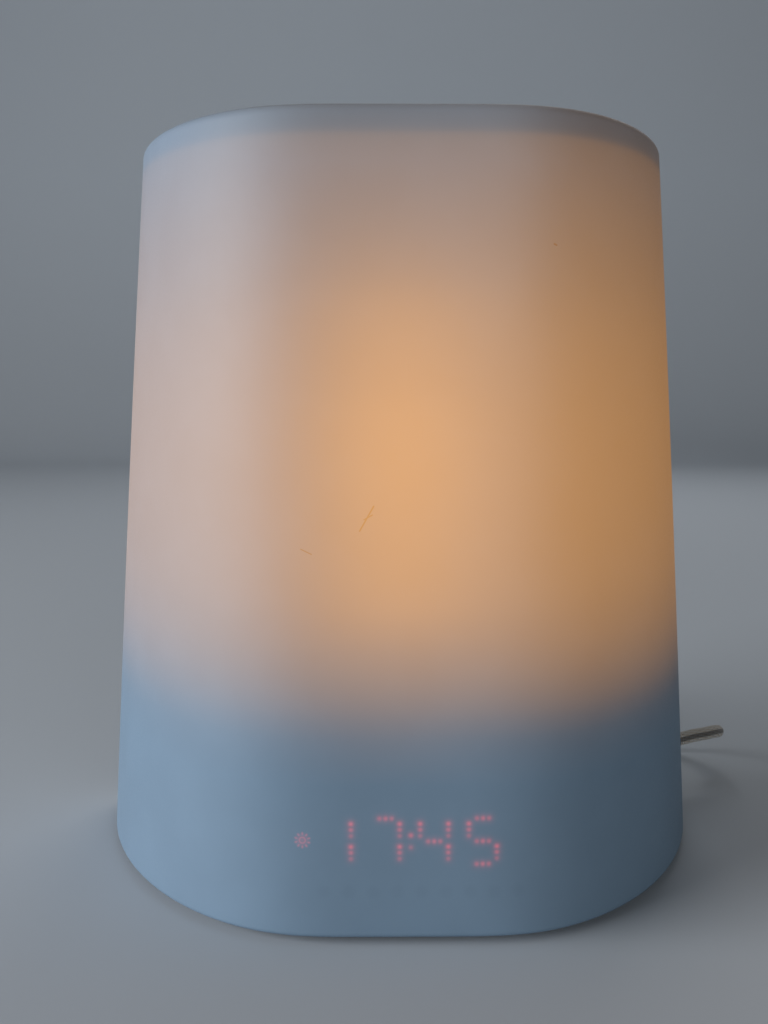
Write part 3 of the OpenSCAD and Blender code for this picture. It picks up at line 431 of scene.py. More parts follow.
class NodeSketch:
    """The nodes of one material, round its surface shader."""

    def __init__(self, name: str) -> None:
        """Starts a material.

        Args:
            name: The material's name.
        """
        self.material = bpy.data.materials.new(name)
        self.material.use_nodes = True
        self.tree = self.material.node_tree
        self.tree.nodes.clear()
        output = self.node("OutputMaterial")
        self.surface = self.node("BsdfPrincipled")
        join(self.tree, output.inputs["Surface"], self.surface.outputs["BSDF"])

    def node(self, kind: str, inputs: dict[str | int, object] | None = None,
             **settings: object) -> bpy.types.Node:
        """Adds a shader node, as add_node does."""
        return add_node(self.tree, "ShaderNode" + kind, inputs, **settings)

    def set(self, values: dict[str, object]) -> None:
        """Fills inputs of the surface shader, by their names."""
        for name, value in values.items():
            join(self.tree, self.surface.inputs[name], value)

    def parts(self, vector: bpy.types.NodeSocket) -> tuple[Signal, ...]:
        """Returns a vector's three numbers."""
        apart = self.node("SeparateXYZ", {0: vector})
        return tuple(Signal(self.tree, number) for number in apart.outputs)

    def where(self) -> bpy.types.NodeSocket:
        """Returns the place in the object's own frame, in metres."""
        return self.node("TexCoord").outputs["Object"]

    def place(self) -> tuple[Signal, ...]:
        """Returns the object's own X, Y and Z, in millimetres."""
        scaled = self.node("VectorMath", {0: self.where(), "Scale": 1 / MM}, operation="SCALE")
        return self.parts(scaled.outputs[0])

    def noise(self, size: float, detail: float = 2.0, stretch: Point = EVEN) -> Signal:
        """Adds noise from 0 to 1.

        Args:
            size: About how wide its features are.
            detail: How many finer layers it has.
            stretch: How much finer it is along X, Y and Z.

        Returns:
            The noise.
        """
        turned = self.node("Mapping", {0: self.where(), "Scale": stretch})
        inputs = {"Vector": turned.outputs[0], "Scale": 1 / (size * MM), "Detail": detail}
        return Signal(self.tree, self.node("TexNoise", inputs).outputs[0])

    def mixed(self, share: Signal | float, first: Signal | Colour, second: Signal | Colour,
              blend: str = "MIX") -> Signal:
        """Mixes two colours.

        Args:
            share: How much of the second colour there is, from 0 to 1.
            first: The first colour.
            second: The second colour.
            blend: How the second colour acts on the first one.

        Returns:
            The mixed colour.
        """
        node = self.node("Mix", {0: share, 6: first, 7: second}, data_type="RGBA", blend_type=blend)
        return Signal(self.tree, node.outputs[2])

    def relief(self, height: Signal, depth: float) -> None:
        """Gives the surface a relief of depth millimetres where height goes from 0 to 1."""
        bump = self.node("Bump", {"Strength": 1.0, "Distance": depth * MM, "Height": height})
        self.set({"Normal": bump.outputs[0]})


# ---- Plain finishes ----


class Grain(Enum):
    """How a plain finish's surface is broken up, as (size, stretch)."""

    SPARK = (0.5, EVEN)
    FINE = (0.25, EVEN)
    BRUSHED = (0.3, (0.08, 1.0, 1.0))
    CAST = (1.4, EVEN)
    PAPER = (0.8, (1.0, 1.0, 0.4))


@dataclass(frozen=True)
class Finish:
    """A plain finish: one colour with fine grain, slight mottling and uneven gloss.

    Attributes:
        colour: Linear base colour.
        roughness: Middle roughness.
        metallic: 1 on bare metal.
        grain: The grain's pattern.
        depth: The grain's depth.
        mottle: How far the colour varies, as a share of itself.
        glow: Strength of emission in the finish's own colour.
        see_through: Share of light that goes through.
        coat: Weight of a clear coat.
        mottle_size: How many times as wide as the grain the mottling is.
        gloss_share: How far the roughness varies, as a share of itself.
        gloss_most: The most that it varies.
    """

    colour: Colour
    roughness: float = 0.5
    metallic: float = 0.0
    grain: Grain = Grain.SPARK
    depth: float = 0.02
    mottle: float = 0.06
    glow: float = 0.0
    see_through: float = 0.0
    coat: float = 0.0
    mottle_size: float = 40.0
    gloss_share: float = 0.3
    gloss_most: float = 0.08

    def material(self, name: str) -> Material:
        """Builds the finish's material.

        Args:
            name: The material's name.

        Returns:
            The material.
        """
        sketch = NodeSketch(name)
        size, stretch = self.grain.value
        fine = sketch.noise(size, stretch=stretch)
        broad = sketch.noise(size * self.mottle_size, CLOUD_DETAIL, stretch)
        low = tuple(c * (1 - self.mottle) for c in self.colour)
        high = tuple(min(c * (1 + self.mottle), 1.0) for c in self.colour)
        spread = min(self.gloss_most, self.roughness * self.gloss_share)
        gloss = fine.ramp(*NOISE_SPAN, self.roughness - spread, self.roughness + spread)
        sketch.set({"Base Color": sketch.mixed(broad, low, high), "Roughness": gloss,
                    "Metallic": self.metallic, "Coat Weight": self.coat,
                    "Transmission Weight": self.see_through})
        if self.glow:
            sketch.set({"Emission Color": self.colour, "Emission Strength": self.glow})
        sketch.relief(fine, self.depth)
        return sketch.material


@dataclass(frozen=True)
class BoardFinish:
    """Green solder resist with pale joints, on a circuit board."""

    resist: Colour = (0.02, 0.12, 0.05)
    solder: Colour = (0.45, 0.45, 0.42)
    resist_roughness: float = 0.35
    solder_roughness: float = 0.2
    joint_pitch: float = 5.0
    joint_edge: Pair = (0.16, 0.12)
    scatter: float = 0.6
    joint_height: float = 0.2

    def material(self, name: str) -> Material:
        """Builds the board's material.

        Args:
            name: The material's name.

        Returns:
            The material.
        """
        sketch = NodeSketch(name)
        inputs = {"Vector": sketch.where(), "Scale": 1 / (self.joint_pitch * MM), "Randomness": self.scatter}
        cells = sketch.node("TexVoronoi", inputs)
        joint = Signal(sketch.tree, cells.outputs["Distance"]).ramp(*self.joint_edge)
        sketch.set({"Base Color": sketch.mixed(joint, self.resist, self.solder),
                    "Roughness": joint.ramp(0.0, 1.0, self.resist_roughness, self.solder_roughness)})
        sketch.relief(joint, self.joint_height)
        return sketch.material


@dataclass(frozen=True)
class BraidFinish:
    """Braided yarn in two shades, read from a cord's own UV map: U round it and V along it, in metres."""

    light: Colour = (0.80, 0.79, 0.76)
    warm: Colour = (0.66, 0.58, 0.48)
    dark: Colour = (0.03, 0.03, 0.035)
    yarns: int = 12
    pitch: float = 0.0042
    thread: float = 0.00045
    yarn_edge: Pair = (0.5, 0.2)
    shade_edge: Pair = (0.35, 0.65)
    hatch_low: float = 0.3
    stripe_at: float = 0.04
    stripe_edge: Pair = (0.075, 0.045)
    stripe_share: float = 0.75
    relief: float = 0.12
    roughness: float = 0.85
    sheen: float = 0.3

    def material(self, name: str) -> Material:
        """Builds the braid's material.

        Args:
            name: The material's name.

        Returns:
            The material.
        """
        sketch = NodeSketch(name)
        around, along, _ = sketch.parts(sketch.node("UVMap").outputs[0])
        turns, steps = around * float(self.yarns), along / self.pitch
        right, left = (turns + steps).to("FRACT"), (turns - steps).to("FRACT")
        over = largest(abs(yarn - 0.5).ramp(*self.yarn_edge) for yarn in (right, left))
        hatch = (along / self.thread).to("PINGPONG", 1.0)
        # Painted shade: the colour goes to the dark colour where the relief is low, between the yarns and
        # across the threads.
        shade = over * hatch.ramp(0.0, 1.0, self.hatch_low, 1.0)
        beside = (around + (0.5 - self.stripe_at)).to("FRACT")
        stripe = abs(beside - 0.5).ramp(*self.stripe_edge)
        yarn = sketch.mixed(right.ramp(*self.shade_edge), self.light, self.warm)
        yarn = sketch.mixed(stripe * self.stripe_share, yarn, self.dark)
        sketch.set({"Base Color": sketch.mixed(shade, self.dark, yarn), "Roughness": self.roughness,
                    "Sheen Weight": self.sheen})
        sketch.relief(shade, self.relief)
        return sketch.material


@dataclass(frozen=True)
class WovenFinish:
    """Narrow woven tape, with threads across and along, its colour painted darker where the weave is low and
    lighter where it is high.
    """

    colour: Colour = (0.03, 0.03, 0.035)
    thread: float = 0.7
    low: float = 0.5
    high: float = 1.8
    weave_scale: float = 0.66
    relief: float = 0.15
    roughness: float = 0.9
    sheen: float = 0.4

    def material(self, name: str) -> Material:
        """Builds the tape's material.

        Args:
            name: The material's name.

        Returns:
            The material.
        """
        sketch = NodeSketch(name)
        x, y, z = ((axis / self.thread).to("PINGPONG", 0.5) for axis in sketch.place())
        weave = (x + y + z) * self.weave_scale
        # Painted light and shade: the colour is darker where the weave's relief is low and lighter where it
        # is high.
        shades = (tuple(c * share for c in self.colour) for share in (self.low, self.high))
        sketch.set({"Base Color": sketch.mixed(weave, *shades), "Roughness": self.roughness,
                    "Sheen Weight": self.sheen})
        sketch.relief(weave, self.relief)
        return sketch.material


# ---- The glowing shell ----


class Stroke(Enum):
    """The strokes of a digit, as (side, level, upright) from its middle."""

    TOP = (0, 2, False)
    MIDDLE = (0, 0, False)
    BOTTOM = (0, -2, False)
    UPPER_LEFT = (-1, 1, True)
    UPPER_RIGHT = (1, 1, True)
    LOWER_RIGHT = (1, -1, True)


LIT_STROKES: dict[str, tuple[Stroke, ...]] = {
    "1": (Stroke.UPPER_RIGHT, Stroke.LOWER_RIGHT),
    "7": (Stroke.TOP, Stroke.UPPER_RIGHT, Stroke.LOWER_RIGHT),
    "4": (Stroke.UPPER_LEFT, Stroke.MIDDLE, Stroke.UPPER_RIGHT, Stroke.LOWER_RIGHT),
    "5": (Stroke.TOP, Stroke.UPPER_LEFT, Stroke.MIDDLE, Stroke.LOWER_RIGHT, Stroke.BOTTOM),
}


@dataclass(frozen=True)
class DotDisplay:
    """The dots that show through the shell, with their light painted on it as emission: four digits, a colon
    and a small sun; and a faint row of darker marks.

    A pair that is called an edge holds the distances at which a shape is dark and at which it is full. A
    pair of levels holds how brightly dots shine at the foot and head of an upright row, or at the middle
    and ends of a level one.
    """

    digits: str = "1745"
    middle: Pair = (0.9, 32.9)
    digit_pitch: float = 14.85
    digit_size: Pair = (8.6, 14.3)
    dot_pitch: float = 1.87
    dot_core: float = 0.48
    dot_halo: float = 1.05
    halo_share: float = 0.4
    upright_levels: Pair = (0.5, 1.0)
    upright_reach: float = 1.2
    level_levels: Pair = (0.8, 0.6)
    level_reach: float = 1.5
    colon_shift: float = 0.3
    colon_levels: Pair = (0.45, 0.8)
    sun_at: Pair = (-31.9, 33.1)
    sun_ring: float = 0.9
    ring_edge: Pair = (0.5, 0.05)
    sun_rays: int = 10
    ray_reach: float = 2.0
    ray_slimness: float = 0.6
    ray_edge: Pair = (0.55, 0.05)
    sun_haze: float = 0.4
    haze_reach: float = 1.4
    mark_z: float = 17.0
    mark_span: Pair = (-29.0, 38.0)
    marks: int = 9
    mark_edge: Pair = (3.0, 0.8)
    mark_fade: float = 1.0

    def digit_glow(self, x: Signal, z: Signal) -> Signal:
        """Lights the dots of the digits and the colon.

        Args:
            x: Place across the front.
            z: Height.

        Returns:
            How brightly the dots shine there.
        """
        width, height = self.digit_size
        glows = []
        for i, digit in enumerate(self.digits):
            centre = self.middle[0] + (i - (len(self.digits) - 1) / 2) * self.digit_pitch
            for stroke in LIT_STROKES[digit]:
                side, level, upright = stroke.value
                across, up = x - (centre + side * width / 2), z - (self.middle[1] + level * height / 4)
                glows.append(self.row_glow(*((up, across) if upright else (across, up)), upright))
        across, up = x - (self.middle[0] + self.colon_shift), z - self.middle[1]
        dimmed = up.ramp(-self.dot_pitch, self.dot_pitch, *self.colon_levels)
        glows.append(self.dot(across, abs(up) - self.dot_pitch) * dimmed)
        return largest(glows)

    def dot(self, across: Signal, up: Signal) -> Signal:
        """Lights one dot with its halo.

        Args:
            across: Distance across from its middle.
            up: Distance up from its middle.

        Returns:
            How brightly the dot shines there.
        """
        square = across * across + up * up
        core, halo = ((square * (-0.5 / width ** 2)).to("EXPONENT")
                      for width in (self.dot_core, self.dot_halo))
        return core + halo * self.halo_share

    def row_glow(self, along: Signal, across: Signal, upright: bool) -> Signal:
        """Lights a stroke's three dots, of which the upper ones or the middle one shine most.

        Args:
            along: Distance from the stroke's middle, along it.
            across: Distance from its middle, across it.
            upright: Whether the stroke stands upright.

        Returns:
            How brightly the dots shine there.
        """
        half = self.dot_pitch / 2
        fold = abs(abs(along) - half) - half
        glow = self.dot(fold, across)
        if upright:
            reach = self.upright_reach * self.dot_pitch
            return glow * along.ramp(-reach, reach, *self.upright_levels)
        return glow * abs(along).ramp(0.0, self.level_reach * self.dot_pitch, *self.level_levels)

    def sun_glow(self, x: Signal, z: Signal) -> Signal:
        """Lights the small sun: a ring with rays round it and a little haze.

        Args:
            x: Place across the front.
            z: Height.

        Returns:
            How brightly the sun shines there.
        """
        across, up = x - self.sun_at[0], z - self.sun_at[1]
        reach = distance(across, up)
        ring = abs(reach - self.sun_ring).ramp(*self.ring_edge)
        step = 2 * math.pi / self.sun_rays
        aside = (up.to("ARCTAN2", across) % step - step / 2) * self.ray_reach
        rays = distance(aside, (reach - self.ray_reach) * self.ray_slimness).ramp(*self.ray_edge)
        haze = reach.ramp(self.haze_reach * self.ray_reach, self.sun_ring) * self.sun_haze
        return largest([ring, rays, haze])

    def faint_dark_marks(self, x: Signal, z: Signal) -> Signal:
        """Draws the faint row of darker marks.

        Args:
            x: Place across the front.
            z: Height.

        Returns:
            How dark the marks are there.
        """
        low, high = self.mark_span
        step = (high - low) / self.marks
        away = distance((x - low) % step - step / 2, z - self.mark_z)
        fade = self.mark_fade
        inside = x.ramp(low - fade, low + fade) * x.ramp(high + fade, high - fade)
        return away.ramp(*self.mark_edge) * inside


@dataclass(frozen=True)
class Scratch:
    """A hairline mark on the shell, from one end to the other as (x, z), with its half width.

    Its edge holds, as shares of the half width, where the mark has ended and where it is full.
    """

    start: Pair
    end: Pair
    half_width: float = 0.16
    edge: Pair = (2.0, 0.4)

    def strength(self, x: Signal, z: Signal) -> Signal:
        """Draws the mark.

        Args:
            x: Place across the front.
            z: Height.

        Returns:
            1 on the mark and 0 away from it.
        """
        run = (self.end[0] - self.start[0], self.end[1] - self.start[1])
        length = math.hypot(*run)
        dx, dz = x - self.start[0], z - self.start[1]
        along = dx * (run[0] / length) + dz * (run[1] / length)
        aside = dx * (-run[1] / length) + dz * (run[0] / length)
        past = (along - length).to("MAXIMUM", along * -1.0).to("MAXIMUM", 0.0)
        return distance(aside, past).ramp(*(share * self.half_width for share in self.edge))


@dataclass(frozen=True)
class GlowingShellFinish:
    """Frosted shell, lit from inside, with the lamp's light painted on it as emission: a broad warm glow, a
    hotter column before the lamp and the dots.

    Attributes:
        body: The unlit skin's colour.
        painted_lit_body: The skin's colour with painted lamp light, where the lamp warms it.
        glow: The lamp's colour through the skin.
        dots: The dots' colour.
        column_strength: Strength of the hot column at its middle.
        column_x: Where the column stands.
        column_width: The width of its bell curve.
        top_painted_lit: How much painted lamp light warms the top band at its left and right.
        top_across: Between which X that changes.
        top_rise: Between which heights the top band begins.
        painted_lit_share: How much painted lamp light, from the broad rise and the whole glow, warms the
            skin.
        dot_strength: Strength of the digits.
        sun_strength: Strength of the small sun.
        inside_share: The inner skin's glow, as a share of the outer one's.
        display: The dots.
        scratches: The hairline marks.
        broad_across: The broad glow from left to right.
        broad_rise: The broad glow from the foot up.
        column_rise: The column's strength from the foot up.
        mottle_size: How wide the skin's clouds are.
        mottle_colour: What the skin is multiplied by where they are darkest.
        mark_colour: The darker marks' colour.
        mark_share: How much of it they take.
        scratch_colour: The scratches' colour.
        scratch_share: How much of it they take.
        grain_size: The frosting's grain.
        grain_depth: How deep it is.
        roughness: The least and the most roughness.
        gloss: The shader's own level of gloss.
    """

    body: Colour = (0.195, 0.285, 0.39)
    painted_lit_body: Colour = (0.195, 0.24, 0.275)
    glow: Colour = (1.0, 0.395, 0.0)
    dots: Colour = (1.0, 0.035, 0.03)
    column_strength: float = 0.257
    column_x: float = -2.0
    column_width: float = 20.5
    top_painted_lit: Pair = (0.05, 0.45)
    top_across: Pair = (-80.0, -30.0)
    top_rise: Pair = (225.0, 246.0)
    painted_lit_share: Pair = (0.25, 0.6)
    dot_strength: float = 0.28
    sun_strength: float = 0.2
    inside_share: float = 0.3
    display: DotDisplay = DotDisplay()
    scratches: tuple[Scratch, ...] = (
        Scratch((-14.2, 127.8), (-10.0, 135.2)),
        Scratch((-12.9, 131.2), (-10.4, 132.6), 0.12),
        Scratch((-31.8, 122.3), (-28.6, 120.8), 0.12),
        Scratch((43.3, 212.1), (44.0, 211.8), 0.2),
    )
    broad_across: tuple[Pair, ...] = (
        (-95, 0.27), (-65, 0.315), (-40, 0.35), (0, 0.36), (45, 0.41), (65, 0.375), (95, 0.285),
    )
    broad_rise: tuple[Pair, ...] = (
        (50, 0.0), (61, 0.04), (67.5, 0.13), (73.6, 0.28), (80, 0.44), (89, 0.63), (98, 0.77), (119, 0.95),
        (146, 1.0), (172, 0.94), (207, 0.70), (234, 0.48), (240, 0.42), (242.5, 0.37), (243.7, 0.28),
        (245, 0.20), (247, 0.16), (252, 0.13),
    )
    column_rise: tuple[Pair, ...] = (
        (50, 0.0), (67, 0.14), (80, 0.24), (89, 0.35), (98, 0.57), (107, 0.75), (130, 0.9), (155, 1.0),
        (172, 0.87), (190, 0.70), (207, 0.36), (224, 0.15), (240, 0.08), (252, 0.0),
    )
    mottle_size: float = 22.0
    mottle_colour: Colour = (0.96, 0.96, 0.96)
    mark_colour: Colour = (0.05, 0.07, 0.1)
    mark_share: float = 0.05
    scratch_colour: Colour = (0.10, 0.05, 0.02)
    scratch_share: float = 0.55
    grain_size: float = 0.6
    grain_depth: float = 0.006
    roughness: Pair = (0.5, 0.6)
    gloss: float = 0.2

    def material(self, name: str) -> Material:
        """Builds the shell's material.

        Args:
            name: The material's name.

        Returns:
            The material.
        """
        sketch = NodeSketch(name)
        x, _, z = sketch.place()
        outside = Signal(sketch.tree, sketch.node("Attribute", attribute_name=OUTER_SKIN).outputs["Fac"])
        # Painted light: the lamp's glow through the skin is painted as emission by place, not cast by a lamp
        # inside.
        rise = z.curve(self.broad_rise)
        column = z.curve(self.column_rise) * x.bell(self.column_x, self.column_width)
        lamp = rise * x.curve(self.broad_across) + column * self.column_strength
        lamp = lamp * outside.ramp(0.0, 1.0, self.inside_share, 1.0)
        # Painted light: the display's dots and small sun shine through the skin as emission painted on it.
        dots = self.display.digit_glow(x, z) * self.dot_strength
        dots = (dots + self.display.sun_glow(x, z) * self.sun_strength) * outside
        shine = [sketch.mixed(strength, BLACK, colour)
                 for strength, colour in ((lamp, self.glow), (dots, self.dots))]
        # Painted light: the skin's own colour is mixed warmer where the glow lights it.
        lit = rise * self.painted_lit_share[0] + lamp * self.painted_lit_share[1]
        fine = sketch.noise(self.grain_size)
        sketch.set({"Emission Color": sketch.mixed(1.0, *shine, "ADD"), "Emission Strength": 1.0,
                    "Base Color": self.skin(sketch, x, z, lit, outside),
                    "Roughness": fine.ramp(*NOISE_SPAN, *self.roughness), "Specular IOR Level": self.gloss})
        sketch.relief(fine, self.grain_depth)
        return sketch.material

    def skin(self, sketch: NodeSketch, x: Signal, z: Signal, lit: Signal, outside: Signal) -> Signal:
        """Colours the skin under its glow: mottled a little, with painted lamp light that makes it warmer
        where lit, with marks and scratches.

        Args:
            sketch: The shell's material.
            x: Place across the front.
            z: Height.
            lit: How much painted lamp light warms the skin.
            outside: 1 on the outer skin and 0 on the inner one.

        Returns:
            The skin's colour.
        """
        # Painted light: the top band and the glowing parts of the skin get a warmer, lamp-lit copy of the
        # skin's colour.
        top = z.ramp(*self.top_rise) * x.ramp(*self.top_across, *self.top_painted_lit)
        colour = sketch.mixed(largest([lit, top]), self.body, self.painted_lit_body)
        clouds = sketch.noise(self.mottle_size, CLOUD_DETAIL).ramp(*NOISE_SPAN)
        colour = sketch.mixed(1.0, colour, sketch.mixed(clouds, self.mottle_colour, WHITE), "MULTIPLY")
        # A row of faint darker spots, mixed into the outer skin's colour.
        marks = self.display.faint_dark_marks(x, z) * outside * self.mark_share
        colour = sketch.mixed(marks, colour, self.mark_colour)
        lines = largest(scratch.strength(x, z) for scratch in self.scratches)
        return sketch.mixed(lines * outside * self.scratch_share, colour, self.scratch_colour)


@dataclass(frozen=True)
class BodyForm:
    """The body's outline at every height, the same rule that its solids follow.

    The outline's corners are eased as on a moulding: it is laid out at even steps, run on straight past
    the seam and averaged along itself under a bell curve of the width easing.
    """

    base_w: float = 224.0
    top_w: float = 188.6
    shell_h: float = 250.0
    foot_z: float = 2.0
    seam_y: float = 42.5
    front_depth: float = 109.5
    frame_depth: float = 22.0
    lean: float = 12.0
    flat_foot: float = 30.2
    flat_top: float = 32.0
    front_power: float = 1.8
    rear_power: float = 3.0
    side_bow: float = 0.5
    top_edge_r: float = 3.0
    foot_edge_r: float = 2.0
    back_edge_r: float = 8.0
    easing: float = 9.0
    bell_reach: int = 3
    run_on: int = 4
    quarter_steps: int = 181
    dense_step: float = 1.0

    @property
    def top_z(self) -> float:
        """Height of the top."""
        return self.foot_z + self.shell_h

    def rise(self, z: float) -> float:
        """Share of the height at z, from 0 at the foot to 1 at the top."""
        return (z - self.foot_z) / self.shell_h

    def half_width(self, z: float) -> float:
        """Half the body's width at a height."""
        up = self.rise(z)
        return self.base_w / 2 + (self.top_w - self.base_w) / 2 * up + 4 * self.side_bow * up * (1 - up)

    def flat_half(self, z: float) -> float:
        """Half width of the front's flat part at a height."""
        return self.flat_foot + (self.flat_top - self.flat_foot) * self.rise(z)

    def reach(self, z: float) -> float:
        """How far the front stands before the seam at a height."""
        return self.front_depth - self.lean * self.rise(z)

    def front_line(self, z: float, inset: float, count: int) -> np.ndarray:
        """Lists the front's outline at one height, from the left seam to the right one.

        Args:
            z: The height.
            inset: How far in from the outside.
            count: Number of points, evenly apart.

        Returns:
            Points with X, Y and Z.
        """
        turn = np.radians(np.linspace(90, 0, self.quarter_steps))
        swell = 2 / self.front_power
        flat = self.flat_half(z)
        x = flat + (self.half_width(z) - inset - flat) * np.sin(turn) ** swell
        y = self.seam_y - (self.reach(z) - inset) * np.maximum(np.cos(turn), 0) ** swell
        line = np.concatenate([np.stack([-x, y], axis=1), np.stack([x, y], axis=1)[::-1]])
        past = [[0, self.run_on * self.easing]]
        line = np.concatenate([line[:1] + past, line, line[-1:] + past])
        dense = respaced(line, lambda length: np.arange(0, length, self.dense_step))
        reach = int(self.bell_reach * self.easing)
        weight = np.exp(-0.5 * (np.arange(-reach, reach + 1) / self.easing) ** 2)
        weight /= weight.sum()
        eased = np.stack([np.convolve(dense[:, k], weight, "valid") for k in range(2)], axis=1)
        eased = eased[eased[:, 1] <= self.seam_y]
        eased = np.concatenate([[[-x[0], self.seam_y]], eased, [[x[0], self.seam_y]]])
        even = respaced(eased, lambda length: np.linspace(0, length, count))
        return np.column_stack([even, np.full(count, z)])


@dataclass
class FrontShell:
    """The frosted shell: one smooth moulding, closed at the top, open behind and at the foot."""

    form: BodyForm
    wall: float = 3.2
    columns: int = 180
    rise_steps: int = 48
    edge_steps: int = 8
    seam_edge: float = 0.35
    inner_top_slope: float = 3.0
    sharp_turn: float = 40
    finish: GlowingShellFinish = GlowingShellFinish()

    def rows(self) -> list[Pair]:
        """Lists the outer skin's rows.

        Returns:
            The height and the inset of each row, from the foot to the top.
        """
        form, turns = self.form, np.radians(np.linspace(0, 90, self.edge_steps + 1))
        foot = [(form.foot_z + form.foot_edge_r * (1 - math.cos(a)), form.foot_edge_r * (1 - math.sin(a)))
                for a in turns]
        top = [(form.top_z - form.top_edge_r * (1 - math.sin(a)), form.top_edge_r * (1 - math.cos(a)))
               for a in turns]
        between = np.linspace(foot[-1][0], top[0][0], self.rise_steps + 1)[1:-1]
        return foot + [(float(z), 0.0) for z in between] + top

    def inner_row(self, row: Pair) -> Pair:
        """Finds the row of the inner skin that lies behind an outer row.

        Args:
            row: The outer row's height and inset.

        Returns:
            The inner row's height and inset.
        """
        form = self.form
        z = form.foot_z + (row[0] - form.foot_z) * (form.shell_h - self.wall) / form.shell_h
        over = max(row[0] - (form.top_z - form.top_edge_r), 0)
        return z, self.wall + over / self.inner_top_slope

    def line(self, row: Pair, edge: float) -> np.ndarray:
        """Lists one row's points.

        Args:
            row: The row's height and inset.
            edge: Width of the rounding at each seam.

        Returns:
            Points with X, Y and Z.
        """
        points = self.form.front_line(*row, self.columns)
        for end, beside, sign in ((0, 1, 1), (-1, -2, -1)):
            points[end, 0] += sign * edge
            if edge:
                points[beside, 1] = points[end, 1] - edge
        return points

    def faces(self, count: int) -> list[tuple[int, ...]]:
        """Lists the faces of both skins, the foot, the closed top and the seams.

        Args:
            count: Number of rows of each skin.

        Returns:
            The vertex numbers of each face.
        """
        n = self.columns
        start, last = n * count, (count - 1) * n
        faces = grid_faces(count, n) + grid_faces(count, n, start, flip=True)
        faces += [(j, start + j, start + j + 1, j + 1) for j in range(n - 1)]
        for j in range(n // 2 - 1):
            a, b = last + j, last + n - 1 - j
            faces.append((a, b, b - 1, a + 1)[::-1])
            faces.append((start + a, start + a + 1, start + b - 1, start + b)[::-1])
        for k in range(count - 1):
            low, high = k * n, (k + 1) * n
            faces.append((low, high, start + high, start + low))
            faces.append((low + n - 1, start + low + n - 1, start + high + n - 1, high + n - 1))
        faces.append((last, last + n - 1, start + last + n - 1, start + last))
        return faces

    def build(self) -> list[Piece]:
        """Builds, dresses and mounts the shell.

        Returns:
            The shell alone.
        """
        rows = self.rows()
        outer = [self.line(row, self.seam_edge) for row in rows]
        inner = [self.line(self.inner_row(row), 0.0) for row in rows]
        piece = mesh_from("frosted_shell", np.concatenate(outer + inner), self.faces(len(rows)))
        skin = piece.data.attributes.new(OUTER_SKIN, "FLOAT", "POINT")
        skin.data.foreach_set("value", np.repeat([1.0, 0.0], self.columns * len(rows)))
        turn_outwards(piece)
        shade_by_angle(piece, self.sharp_turn, weighted=False)
        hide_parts("front_shell")
        return [mounted(piece, self.finish.material("frosted_shell"))]


# ---- Rear frame ----


